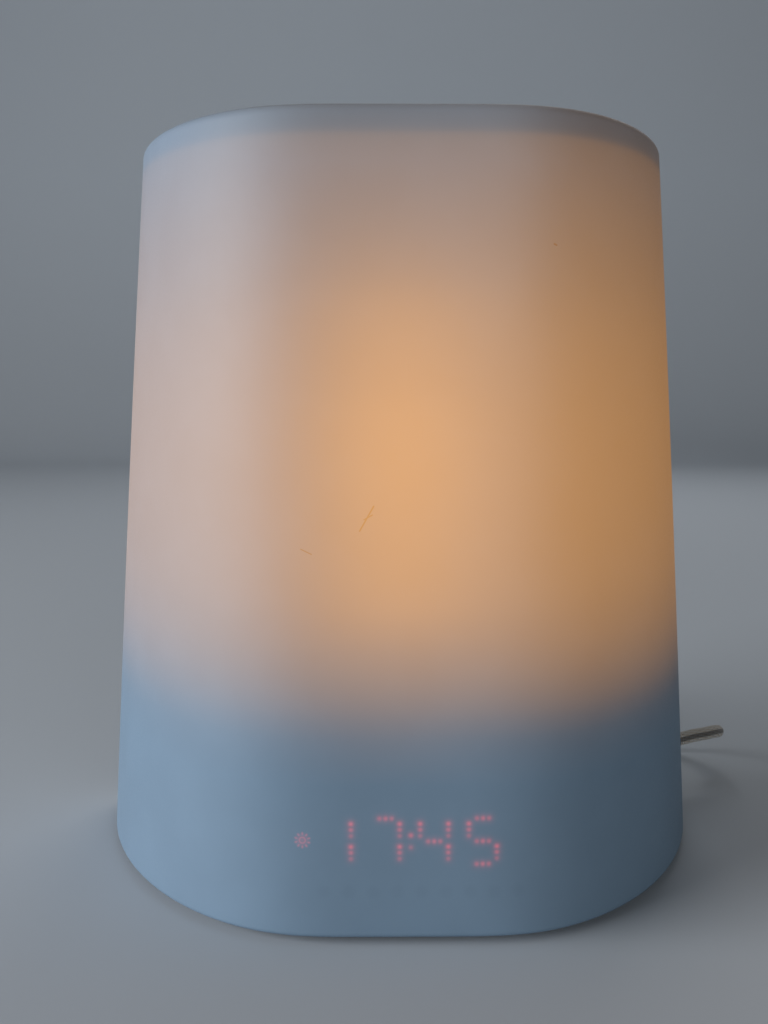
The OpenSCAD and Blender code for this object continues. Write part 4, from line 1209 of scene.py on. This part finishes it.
@dataclass
class RearFrame:
    """The rear frame: an arch of both flanks and the rear top, with key windows and the lead's hole."""

    form: BodyForm
    material: Material
    wall: float = 2.6
    rim_w: float = 8.0
    rim_taper: float = 0.4
    tongue: Pair = (4.0, 2.1)
    tongue_in: float = 5.9
    tongue_taper: float = 0.3
    least_edge_r: float = 0.4
    corner_steps: int = 20
    rise_steps: int = 24
    edge_steps: int = 6
    seam_edge: float = 0.35
    sharp_turn: float = 30
    keys: int = 3
    key_size: Pair = (6.0, 15.0)
    key_gap: float = 0.3
    key_pitch: float = 21.0
    key_z: float = 112.0
    key_y: float = 48.6
    window_depth: float = 16.0
    boot_at: Point = (105.7, 58.8, 18.9)
    boot_turn: Pair = (5.0, 18.0)
    boot_r: float = 4.7
    boot_depth: float = 30.0
    boot_sides: int = 48

    def skin(self, degrees: float, wall: float, radius: float) -> Section:
        """Lists one spot of the arch's section, on the outer or the inner skin.

        Args:
            degrees: How far round the rear corner, from the seam to the back.
            wall: How far in from the outside.
            radius: The edge radius there.

        Returns:
            Y, in from the side, down from the top, edge radius.
        """
        form = self.form
        turn, swell = math.radians(degrees), 2 / form.rear_power
        y = form.seam_y + (form.frame_depth - wall) * math.sin(turn) ** swell
        side = wall + (form.frame_depth - wall) * (1 - max(math.cos(turn), 0) ** swell)
        over = max(y - (form.seam_y + form.frame_depth - form.back_edge_r), 0)
        drop = form.back_edge_r - math.sqrt(max(form.back_edge_r ** 2 - over ** 2, 0))
        return y, side, wall + drop, radius

    def profile(self) -> list[Section]:
        """Lists the arch's section.

        Returns:
            Y, in from the side, down from the top and edge radius of each spot.
        """
        form = self.form
        back = form.seam_y + form.frame_depth
        inner_r = max(form.top_edge_r - self.wall, self.least_edge_r)
        depth, thick = self.tongue
        turns = np.linspace(0, 90, self.corner_steps + 1)
        reach, down = form.frame_depth + self.rim_w, form.back_edge_r + self.rim_w
        outer = [self.skin(float(a), 0, form.top_edge_r) for a in turns]
        outer[0] = (form.seam_y + self.seam_edge, *outer[0][1:])
        lead_in = [(form.seam_y, self.seam_edge, self.seam_edge, form.top_edge_r - self.seam_edge)]
        rim = [(back, reach, down, inner_r), (back - self.wall + self.rim_taper, reach, down, inner_r)]
        inner = [self.skin(float(a), self.wall, inner_r) for a in turns[:2:-1]]
        inside = self.tongue_in
        steps = ((form.seam_y + thick, self.wall), (form.seam_y + thick, inside),
                 (form.seam_y - depth, inside - self.tongue_taper), (form.seam_y - depth, inside - thick),
                 (form.seam_y, inside - thick))
        return lead_in + outer + rim + inner + [(y, side, side, inner_r) for y, side in steps]

    def arch(self, spot: Section) -> np.ndarray:
        """Lists the points of the arch through one spot of the section.

        Args:
            spot: Y, in from the side, down from the top, edge radius.

        Returns:
            Points with X, Y and Z, from the right foot over the top to the left one.
        """
        y, side, drop, radius = spot
        edge_z = self.form.top_z - drop - radius
        edge_x = self.form.half_width(edge_z) - side - radius
        rise = [(self.form.half_width(z) - side, y, z)
                for z in np.linspace(self.form.foot_z, edge_z, self.rise_steps + 1)]
        turn = [(edge_x + radius * math.cos(a), y, edge_z + radius * math.sin(a))
                for a in np.radians(np.linspace(0, 90, self.edge_steps + 1))[1:]]
        half = np.array(rise + turn)
        return np.concatenate([half, half[::-1] * np.array([-1, 1, 1])])

    def at_key(self, side: int, number: int) -> Matrix:
        """Finds a key's window.

        Args:
            side: -1 on the left flank and 1 on the right one.
            number: Which key, from the lowest.

        Returns:
            Its place in metres, turned with its flank.
        """
        height = self.key_z + number * self.key_pitch
        slope = math.atan((self.form.base_w - self.form.top_w) / 2 / self.form.shell_h)
        place = Vector((side * self.form.half_width(height), self.key_y, height)) * MM
        return Matrix.Translation(place) @ Matrix.Rotation(-side * slope, 4, "Y")

    def cutter(self) -> Piece:
        """Builds the solid that cuts the key windows and the lead's hole.

        Returns:
            The cutting solid.
        """
        work = bmesh.new()
        size = Vector((self.window_depth, *(length + 2 * self.key_gap for length in self.key_size))) * MM
        for side in (-1, 1):
            for number in range(self.keys):
                bmesh.ops.create_cube(work, matrix=self.at_key(side, number) @ Matrix.Diagonal((*size, 1)))
        turn = Matrix.Rotation(math.radians(self.boot_turn[1]), 4, "Z")
        rise = Matrix.Rotation(math.radians(90 - self.boot_turn[0]), 4, "Y")
        place = Matrix.Translation(Vector(self.boot_at) * MM)
        bmesh.ops.create_cone(work, cap_ends=True, segments=self.boot_sides, radius1=self.boot_r * MM,
                              radius2=self.boot_r * MM, depth=self.boot_depth * MM,
                              matrix=place @ turn @ rise)
        return piece_from(work, "frame_cutter")

    def build(self) -> list[Piece]:
        """Builds, cuts, dresses and mounts the rear frame.

        Returns:
            The frame alone.
        """
        arches = [self.arch(spot) for spot in self.profile()]
        n, m = len(arches), len(arches[0])
        ends = [tuple(range(0, n * m, m))[::-1], tuple(range(m - 1, n * m, m))]
        piece = mesh_from("rear_housing", np.concatenate(arches), grid_faces(n, m, wrap_rows=True) + ends)
        turn_outwards(piece)
        cutter = self.cutter()
        modified(piece, "BOOLEAN", operation="DIFFERENCE", solver="EXACT", object=cutter)
        bpy.data.objects.remove(cutter)
        shade_by_angle(piece, self.sharp_turn)
        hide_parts("rear_frame")
        return [mounted(piece, self.material)]


# ---- Mains lead ----


@dataclass
class MainsLead:
    """The braided lead: a free bend behind the body, a tied coil and a tail to the plug."""

    material: Material
    diameter: float = 5.4
    exit: Point = (118.0, 62.8, 20.0)
    coil_at: Pair = (40.0, 146.0)
    coil_r: float = 36.7
    coil_step: float = 5.9
    loops_per_layer: int = 2
    layers: int = 4
    coil_z: float = 3.7
    rings_per_loop: int = 72
    sides: int = 24
    ring_step: float = 0.75
    steps_between: int = 12
    yarns: int = 8
    yarn_pitch: float = 6.2
    yarn_relief: float = 0.09
    free_route: tuple[Point, ...] = (
        (112, 60.9, 19.5), (118, 62.8, 20), (121.8, 64.2, 20.4), (125.6, 65.6, 20.8), (130.6, 67.8, 20.8),
        (135, 71.2, 20.4), (138.4, 75.6, 19.2), (140.6, 80.6, 17.6), (141.2, 86, 15.6), (140.6, 91.2, 13.4),
        (138.4, 95.8, 11), (135, 99.6, 8.6), (130.6, 102.4, 6.4), (125.6, 104, 4.6), (120, 104.4, 3.4),
        (113, 104.6, 2.8), (104, 105, 2.8), (92, 106, 2.9), (80, 107.2, 3.2), (68, 108.4, 3.5),
        (56, 109.1, 3.7), (46, 109.3, 3.7), (40, 109.3, 3.7),
    )
    tail_route: tuple[Point, ...] = (
        (40, 109.3, 21.4), (34, 109.3, 21.4), (27, 109.5, 20.4), (20, 110, 18), (13, 110.6, 15),
        (6, 111.2, 11.8), (-1, 111.8, 8.6), (-8, 112.4, 5.8), (-16, 112.8, 3.8), (-24, 113, 3.4),
        (-32, 113, 4.4), (-40, 113, 6), (-46, 113, 6.8), (-52, 113, 6.8),
    )

    def coil_point(self, turns: float) -> Point:
        """Follows the coil, which winds inwards and outwards by turns and climbs between its layers.

        Args:
            turns: Number of turns from the coil's start.

        Returns:
            The centreline's X, Y and Z there.
        """
        layer = min(int(turns // self.loops_per_layer), self.layers - 1)
        within = turns - layer * self.loops_per_layer
        inwards = within if layer % 2 == 0 else self.loops_per_layer - within
        radius = self.coil_r - self.coil_step * inwards
        near = round(turns / self.loops_per_layer)
        off = turns - near * self.loops_per_layer
        climb = near - 0.5 + min(max(off * 2, -0.5), 0.5) if 1 <= near <= self.layers - 1 else float(layer)
        angle = math.radians(-90 - 360 * turns)
        return (self.coil_at[0] + radius * math.cos(angle), self.coil_at[1] + radius * math.sin(angle),
                self.coil_z + self.coil_step * climb)

    def route(self) -> np.ndarray:
        """Lists the spots that the centreline passes.

        Returns:
            Points with X, Y and Z, from inside the strain relief to the plug.
        """
        rings = self.loops_per_layer * self.layers * self.rings_per_loop
        coil = [self.coil_point(i / self.rings_per_loop) for i in range(1, rings)]
        return np.array([*self.free_route, *coil, *self.tail_route], float)

    def path(self) -> np.ndarray:
        """Runs a smooth curve through the route.

        Returns:
            The centreline's points, at even steps.
        """
        points = self.route()
        padded = np.concatenate([2 * points[:1] - points[1:2], points, 2 * points[-1:] - points[-2:-1]])
        share = np.linspace(0, 1, self.steps_between, endpoint=False)[:, None]
        pieces = []
        for a, b, c, d in zip(padded, padded[1:], padded[2:], padded[3:]):
            pieces.append(0.5 * (2 * b + (c - a) * share + (2 * a - 5 * b + 4 * c - d) * share ** 2
                                 + (3 * b - a - 3 * c + d) * share ** 3))
        dense = np.concatenate([*pieces, points[-1:]])
        return respaced(dense, lambda length: np.linspace(0, length, int(length / self.ring_step) + 1))

    def surface(self, path: np.ndarray, step: float) -> np.ndarray:
        """Lays rings round the centreline, with the yarns' relief.

        Args:
            path: The centreline.
            step: Distance from one ring to the next.

        Returns:
            One row of X, Y and Z for each vertex, ring by ring.
        """
        ahead = np.gradient(path, axis=0)
        ahead /= np.linalg.norm(ahead, axis=1)[:, None]
        side = np.cross(ahead, [0, 0, 1.0])
        side /= np.linalg.norm(side, axis=1)[:, None]
        up = np.cross(side, ahead)
        along = np.arange(len(path))[:, None] * step
        around = np.arange(self.sides)[None, :] / self.sides
        right, left = (np.cos(2 * np.pi * (self.yarns * around + lean * along / self.yarn_pitch))
                       for lean in (1, -1))
        radius = self.diameter / 2 - self.yarn_relief + self.yarn_relief * np.maximum(right, left)
        turn = 2 * np.pi * around
        points = (path[:, None, :] + radius[..., None] * (np.cos(turn)[..., None] * side[:, None, :]
                                                          + np.sin(turn)[..., None] * up[:, None, :]))
        return points.reshape(-1, 3)

    def build(self) -> list[Piece]:
        """Returns:
            The lead alone.
        """
        path = self.path()
        count = len(path)
        step = np.linalg.norm(np.diff(path, axis=0), axis=1).mean()
        first = tuple(range(self.sides))
        ends = [first[::-1], tuple((count - 1) * self.sides + k for k in first)]
        faces = grid_faces(count, self.sides, wrap_columns=True) + ends
        piece = mesh_from("braided_mains_lead", self.surface(path, step), faces)
        turn_outwards(piece)
        self.map_round(piece, step)
        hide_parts("mains_cord", "mains_coil", "mains_tail")
        mounted(piece, self.material)
        tuple(v * MM for v in self.exit)
        self.diameter * MM
        return [piece]

    def map_round(self, piece: Piece, step: float) -> None:
        """Lays a UV map on the tube: U round it from 0 to 1, V along it in metres.

        Args:
            piece: The tube.
            step: Distance from one ring to the next.
        """
        layer = piece.data.uv_layers.new(name="round_and_along")
        corners = np.zeros(len(piece.data.loops), int)
        piece.data.loops.foreach_get("vertex_index", corners)
        ring, u = corners // self.sides, corners % self.sides / self.sides
        for polygon in piece.data.polygons:
            span = slice(polygon.loop_start, polygon.loop_start + polygon.loop_total)
            if u[span].max() - u[span].min() > 0.5:
                u[span] = np.where(u[span] < 0.5, u[span] + 1, u[span])
        uv = np.stack([u, ring * step * MM], axis=1)
        layer.data.foreach_set("uv", uv.astype(np.float32).ravel())


# ---- Small parts ----


@dataclass(frozen=True)
class BarPattern:
    """Equal bars in a row, a cross or a ring, laid out by a Geometry Nodes tree.

    Attributes:
        count: Number of bars.
        size: Length, width and height of a bar.
        step: Distance from one bar to the next.
        turn: Angle from one bar to the next, in degrees.
        reach: Distance from the middle to a bar, along the bar.
    """

    count: int
    size: Point
    step: Point = (0.0, 0.0, 0.0)
    turn: float = 0.0
    reach: float = 0.0

    def build(self, name: str, material: Material, place: Matrix) -> Piece:
        """Runs the tree and leaves a plain mesh.

        Args:
            name: The piece's name.
            material: What the tree's Set Material node gives the bars.
            place: Where the pattern's middle lies, in metres, with Z out of the surface.

        Returns:
            The new object, linked to the scene, at the origin.
        """
        piece = mesh_from(name, np.zeros((1, 3)), [])
        modifier = piece.modifiers.new("bars", "NODES")
        modifier.node_group = self.tree(name + "_tree", material)
        values = {"Count": self.count, "Turn": math.radians(self.turn), "Reach": self.reach * MM,
                  "Step": tuple(v * MM for v in self.step), "Size": tuple(v * MM for v in self.size)}
        for item in modifier.node_group.interface.items_tree:
            if item.name in values and item.in_out == "INPUT":
                modifier[item.identifier] = values[item.name]
        evaluated(piece)
        piece.data.transform(place)
        piece.data.update()
        return piece

    @staticmethod
    def tree(name: str, material: Material) -> bpy.types.NodeTree:
        """Makes the tree: points along a line or round a ring, with a bar on each.

        Args:
            name: The tree's name.
            material: What the bars are dressed in.

        Returns:
            The tree.
        """
        group = bpy.data.node_groups.new(name, "GeometryNodeTree")
        for title, kind in (("Count", "Int"), ("Step", "Vector"), ("Turn", "Float"), ("Reach", "Float"),
                            ("Size", "Vector")):
            group.interface.new_socket(title, in_out="INPUT", socket_type="NodeSocket" + kind)
        group.interface.new_socket("Geometry", in_out="OUTPUT", socket_type="NodeSocketGeometry")
        given = add_node(group, "NodeGroupInput").outputs
        number = Signal(group, add_node(group, "GeometryNodeInputIndex").outputs[0])
        angle = number * Signal(group, given["Turn"])
        ray = [angle.to(part) * Signal(group, given["Reach"]) for part in ("COSINE", "SINE")]
        ray = add_node(group, "ShaderNodeCombineXYZ", dict(enumerate(ray)))
        along = add_node(group, "ShaderNodeVectorMath", {0: given["Step"], 1: number, 2: ray.outputs[0]},
                         operation="MULTIPLY_ADD")
        points = add_node(group, "GeometryNodePoints",
                          {"Count": given["Count"], "Position": along.outputs[0]})
        turned = add_node(group, "ShaderNodeCombineXYZ", {2: angle})
        bar = add_node(group, "GeometryNodeMeshCube", {"Size": given["Size"]})
        spread = add_node(group, "GeometryNodeInstanceOnPoints", {
            "Points": points.outputs[0], "Instance": bar.outputs["Mesh"], "Rotation": turned.outputs[0]})
        real = add_node(group, "GeometryNodeRealizeInstances", {0: spread.outputs[0]})
        dress = add_node(group, "GeometryNodeSetMaterial",
                         {"Geometry": real.outputs[0], "Material": material})
        add_node(group, "NodeGroupOutput", {0: dress.outputs[0]})
        return group


MINUS = BarPattern(1, (2.8, 0.6, 0.5))
PLUS = BarPattern(2, (2.8, 0.6, 0.5), turn=90)
LAMP_RAYS = BarPattern(8, (0.8, 0.45, 0.5), turn=45, reach=1.3)
BELL_RING = BarPattern(12, (0.4, 0.7, 0.5), turn=30, reach=1.2)
KEY_SIGNS: dict[tuple[int, int], tuple[str, BarPattern]] = {
    (-1, 0): ("dimmer", MINUS),
    (-1, 1): ("brighter", PLUS),
    (-1, 2): ("light", LAMP_RAYS),
    (1, 0): ("quieter", MINUS),
    (1, 1): ("louder", PLUS),
    (1, 2): ("alarm", BELL_RING),
}


@dataclass
class RaisedDetails:
    """Raised signs on the keys and grip ribs on the plug."""

    frame: RearFrame
    materials: dict[str, Material]
    proud: float = 1.0
    ribs: BarPattern = BarPattern(6, (1.0, 21.0, 0.8), step=(2.4, 0.0, 0.0))
    ribs_at: Point = (-83.0, 113.0, 13.7)

    def build(self) -> list[Piece]:
        """Builds, dresses and mounts every sign and the ribs.

        Returns:
            The signs and the ribs.
        """
        pieces = []
        for (side, number), (key, pattern) in KEY_SIGNS.items():
            place = (self.frame.at_key(side, number) @ Matrix.Translation((side * self.proud * MM, 0, 0))
                     @ Matrix.Rotation(side * math.pi / 2, 4, "Y") @ Matrix.Rotation(math.pi / 2, 4, "Z"))
            piece = pattern.build(f"{key}_sign", self.materials["button_plastic"], place)
            body = bpy.data.objects[f"{key}_button"]["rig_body"]
            pieces.append(mounted(piece, self.materials["button_plastic"], body))
        place = Matrix.Translation(Vector(self.ribs_at) * MM)
        piece = self.ribs.build("plug_ribs", self.materials["plug_plastic"], place)
        return [*pieces, mounted(piece, self.materials["plug_plastic"])]


@dataclass
class SmallParts:
    """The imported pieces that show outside, with rounded edges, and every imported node's material."""

    slots: dict[str, str]
    materials: dict[str, Material]
    rounded: tuple[tuple[str, float, int], ...] = (
        ("back_cover", 0.4, 2), ("base_plate", 0.4, 2), ("rubber_feet", 0.5, 3), ("cord_boot", 0.25, 2),
        ("coil_tie", 0.25, 2), ("plug_body", 2.6, 4), ("plug_pins", 0.3, 2), ("base_screws", 0.15, 2),
        ("back_screws", 0.15, 2),
    )
    keys: tuple[str, ...] = ("light", "brighter", "dimmer", "alarm", "louder", "quieter")
    key_rounding: tuple[float, int] = (0.7, 3)

    def build(self) -> list[Piece]:
        """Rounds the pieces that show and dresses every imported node.

        Returns:
            The rounded pieces.
        """
        pieces = []
        for node, radius, segments in (*self.rounded, *((f"{key}_button", *self.key_rounding)
                                                        for key in self.keys)):
            slot, body = self.slots[node], bpy.data.objects[node]["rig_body"]
            piece = rounded_copy(node, radius, segments)
            pieces.append(mounted(piece, self.materials[slot], body))
        for node, slot in self.slots.items():
            part = bpy.data.objects[node]
            part.data.materials.clear()
            part.data.materials.append(self.materials[slot])
        return pieces


FINISHES: dict[str, Finish | BoardFinish | BraidFinish | WovenFinish] = {
    "white_housing": Finish((0.42, 0.45, 0.48), 0.5, depth=0.03),
    "base_plastic": Finish((0.28, 0.30, 0.32), 0.6),
    "foot_rubber": Finish((0.035, 0.035, 0.038), 0.85, mottle=0.2),
    "screw_steel": Finish((0.55, 0.55, 0.56), 0.35, 1.0, Grain.BRUSHED),
    "chamber_white": Finish((0.8, 0.8, 0.78), 0.6),
    "reflector_white": Finish((0.85, 0.85, 0.83), 0.25, coat=0.5),
    "holder_ceramic": Finish((0.75, 0.73, 0.68), 0.2, grain=Grain.FINE, depth=0.005, coat=0.6),
    "zinc_steel": Finish((0.6, 0.6, 0.62), 0.4, 1.0, Grain.BRUSHED),
    "lamp_glass": Finish((0.95, 0.88, 0.74), 0.4, grain=Grain.FINE, depth=0.002, glow=0.5, see_through=0.4),
    "lamp_brass": Finish((0.72, 0.58, 0.32), 0.3, 1.0, Grain.FINE),
    "clear_glass": Finish((0.9, 0.93, 0.93), 0.05, grain=Grain.FINE, depth=0.0, see_through=0.9),
    "filament_wire": Finish((1.0, 0.6, 0.25), 0.4, 0.5, Grain.FINE, glow=3.0),
    "mask_black": Finish((0.02, 0.02, 0.022), 0.6),
    "dot_red": Finish((0.6, 0.06, 0.05), 0.35, glow=0.4),
    "circuit_green": BoardFinish(),
    "core_steel": Finish((0.12, 0.12, 0.13), 0.45, 0.6, Grain.BRUSHED),
    "winding_copper": Finish((0.45, 0.18, 0.07), 0.35, 0.4, Grain.BRUSHED, 0.05, coat=0.5),
    "capacitor_sleeve": Finish((0.03, 0.04, 0.09), 0.3, coat=0.3),
    "sink_aluminium": Finish((0.72, 0.73, 0.74), 0.35, 1.0, Grain.BRUSHED),
    "black_plastic": Finish((0.02, 0.02, 0.02), 0.5),
    "terminal_plastic": Finish((0.75, 0.74, 0.7), 0.4),
    "magnet_grey": Finish((0.1, 0.1, 0.11), 0.7, grain=Grain.CAST, depth=0.05),
    "cone_paper": Finish((0.03, 0.03, 0.03), 0.9, grain=Grain.PAPER, depth=0.08),
    "surround_rubber": Finish((0.02, 0.02, 0.02), 0.55),
    "wire_insulation": Finish((0.65, 0.64, 0.6), 0.4),
    "button_plastic": Finish((0.34, 0.36, 0.39), 0.45),
    "boot_rubber": Finish((0.03, 0.03, 0.033), 0.7),
    "tie_fabric": WovenFinish(),
    "plug_plastic": Finish((0.025, 0.025, 0.028), 0.45),
    "plug_metal": Finish((0.75, 0.75, 0.77), 0.2, 1.0, Grain.FINE, 0.005),
    "cord_braid": BraidFinish(),
    "frosted_shell": Finish((0.215, 0.305, 0.405), 0.55),
}


# ---- Camera and studio ----


@dataclass(frozen=True)
class PhotoCamera:
    """The photograph's viewpoint, close before the clock, at about two thirds of its height."""

    place: Point = (-9.7, -384.5, 176.3)
    pitch: float = 0.1314
    heading: float = 0.0085
    focal_px: float = 1100.0
    image_height_px: float = 1024.0
    sensor: float = 36.0
    clip: Pair = (0.01, 50.0)

    def build(self) -> None:
        """Adds the camera and makes it the scene's own."""
        data = bpy.data.cameras.new("photo_camera")
        data.sensor_width = self.sensor
        data.lens = self.focal_px * self.sensor / self.image_height_px
        data.clip_start, data.clip_end = self.clip
        camera = added("photo_camera", data)
        turn = Matrix.Rotation(-self.heading, 4, "Z") @ Matrix.Rotation(math.pi / 2 - self.pitch, 4, "X")
        camera.matrix_world = Matrix.Translation(Vector(self.place) * MM) @ turn
        bpy.context.scene.camera = camera


@dataclass(frozen=True)
class SoftLamp:
    """A soft rectangular lamp, in metres, that looks at the clock unless it is aimed elsewhere."""

    name: str
    place: Point
    width: float
    height: float
    watts: float
    colour: Colour
    aim: Point = (0.0, 0.0, 0.12)

    def build(self) -> None:
        """Adds the lamp, turned to what it is aimed at."""
        data = bpy.data.lights.new(self.name, "AREA")
        data.shape = "RECTANGLE"
        data.size, data.size_y = self.width, self.height
        data.energy = self.watts
        data.color = self.colour
        lamp = added(self.name, data)
        lamp.location = self.place
        lamp.rotation_euler = (Vector(self.aim) - Vector(self.place)).to_track_quat("-Z", "Y").to_euler()
        lamp.visible_camera = False


@dataclass
class Studio:
    """A plain floor that curves up behind the clock, a large soft lamp at the left and weaker ones.

    Its lengths are in metres.
    """

    floor_colour: Colour = (0.54, 0.59, 0.65)
    floor_roughness: float = 0.8
    world_colour: Colour = (1.0, 0.94, 0.88)
    world_strength: float = 0.05
    half_width: float = 5.0
    front: float = -5.0
    back: float = 1.6
    bend: float = 0.6
    bend_steps: int = 16
    wall_height: float = 2.6
    lamps: tuple[SoftLamp, ...] = (
        SoftLamp("window_light", (-2.4, -0.99, 0.665), 2.24, 1.28, 75.0, (0.97, 0.98, 0.99),
                 (1.0, -1.5, -0.1)),
        SoftLamp("front_fill", (0.45, -1.9, 0.5), 1.3, 0.8, 7.7, (0.95, 0.98, 0.97)),
        SoftLamp("back_light", (0.35, 1.25, 0.95), 0.8, 0.8, 3.0, (1.0, 0.99, 0.98)),
        SoftLamp("wall_light", (-0.3, 0.5, 1.9), 1.2, 0.6, 1.5, (0.88, 0.94, 1.0), (0.0, 2.2, 0.7)),
    )

    def build(self) -> None:
        """Adds the lamps, the world and the floor."""
        for lamp in self.lamps:
            lamp.build()
        self.build_world()
        self.build_floor()

    def build_world(self) -> None:
        """Sets an even, weak light from all round."""
        world = bpy.data.worlds.new("studio")
        world.use_nodes = True
        ground = world.node_tree.nodes["Background"]
        join(world.node_tree, ground.inputs["Color"], self.world_colour)
        join(world.node_tree, ground.inputs["Strength"], self.world_strength)
        bpy.context.scene.world = world

    def build_floor(self) -> Piece:
        """Builds the floor and backdrop as one sheet with a wide bend between them.

        Returns:
            The sheet.
        """
        turns = np.radians(np.linspace(0, 90, self.bend_steps + 1))
        line = [(self.front, 0.0)]
        line += [(self.back + self.bend * math.sin(a), self.bend * (1 - math.cos(a))) for a in turns]
        line.append((self.back + self.bend, self.wall_height))
        points = np.array([(x, y, z) for y, z in line for x in (-self.half_width, self.half_width)]) / MM
        floor = mesh_from("studio_floor", points, grid_faces(len(line), 2))
        sketch = NodeSketch("studio_floor")
        sketch.set({"Base Color": self.floor_colour, "Roughness": self.floor_roughness})
        floor.data.materials.append(sketch.material)
        return floor


def main() -> None:
    """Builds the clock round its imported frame."""
    logging.basicConfig(level=logging.INFO, format="%(name)s: %(message)s")
    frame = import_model()
    bpy.context.scene.view_settings.view_transform = "Standard"
    PhotoCamera().build()
    slots = {part["node"]: part["material_slot"] for part in frame["record"]["subparts"]}
    materials = {slot: finish.material(slot) for slot, finish in FINISHES.items()}
    form = BodyForm()
    rear = RearFrame(form, materials["white_housing"])
    for maker in (SmallParts(slots, materials), MainsLead(materials["cord_braid"]), FrontShell(form), rear,
                  RaisedDetails(rear, materials)):
        for piece in maker.build():
            log.info("%s: %d faces", piece.name, len(piece.data.polygons))
    Studio().build()


if __name__ == "__main__":
    main()
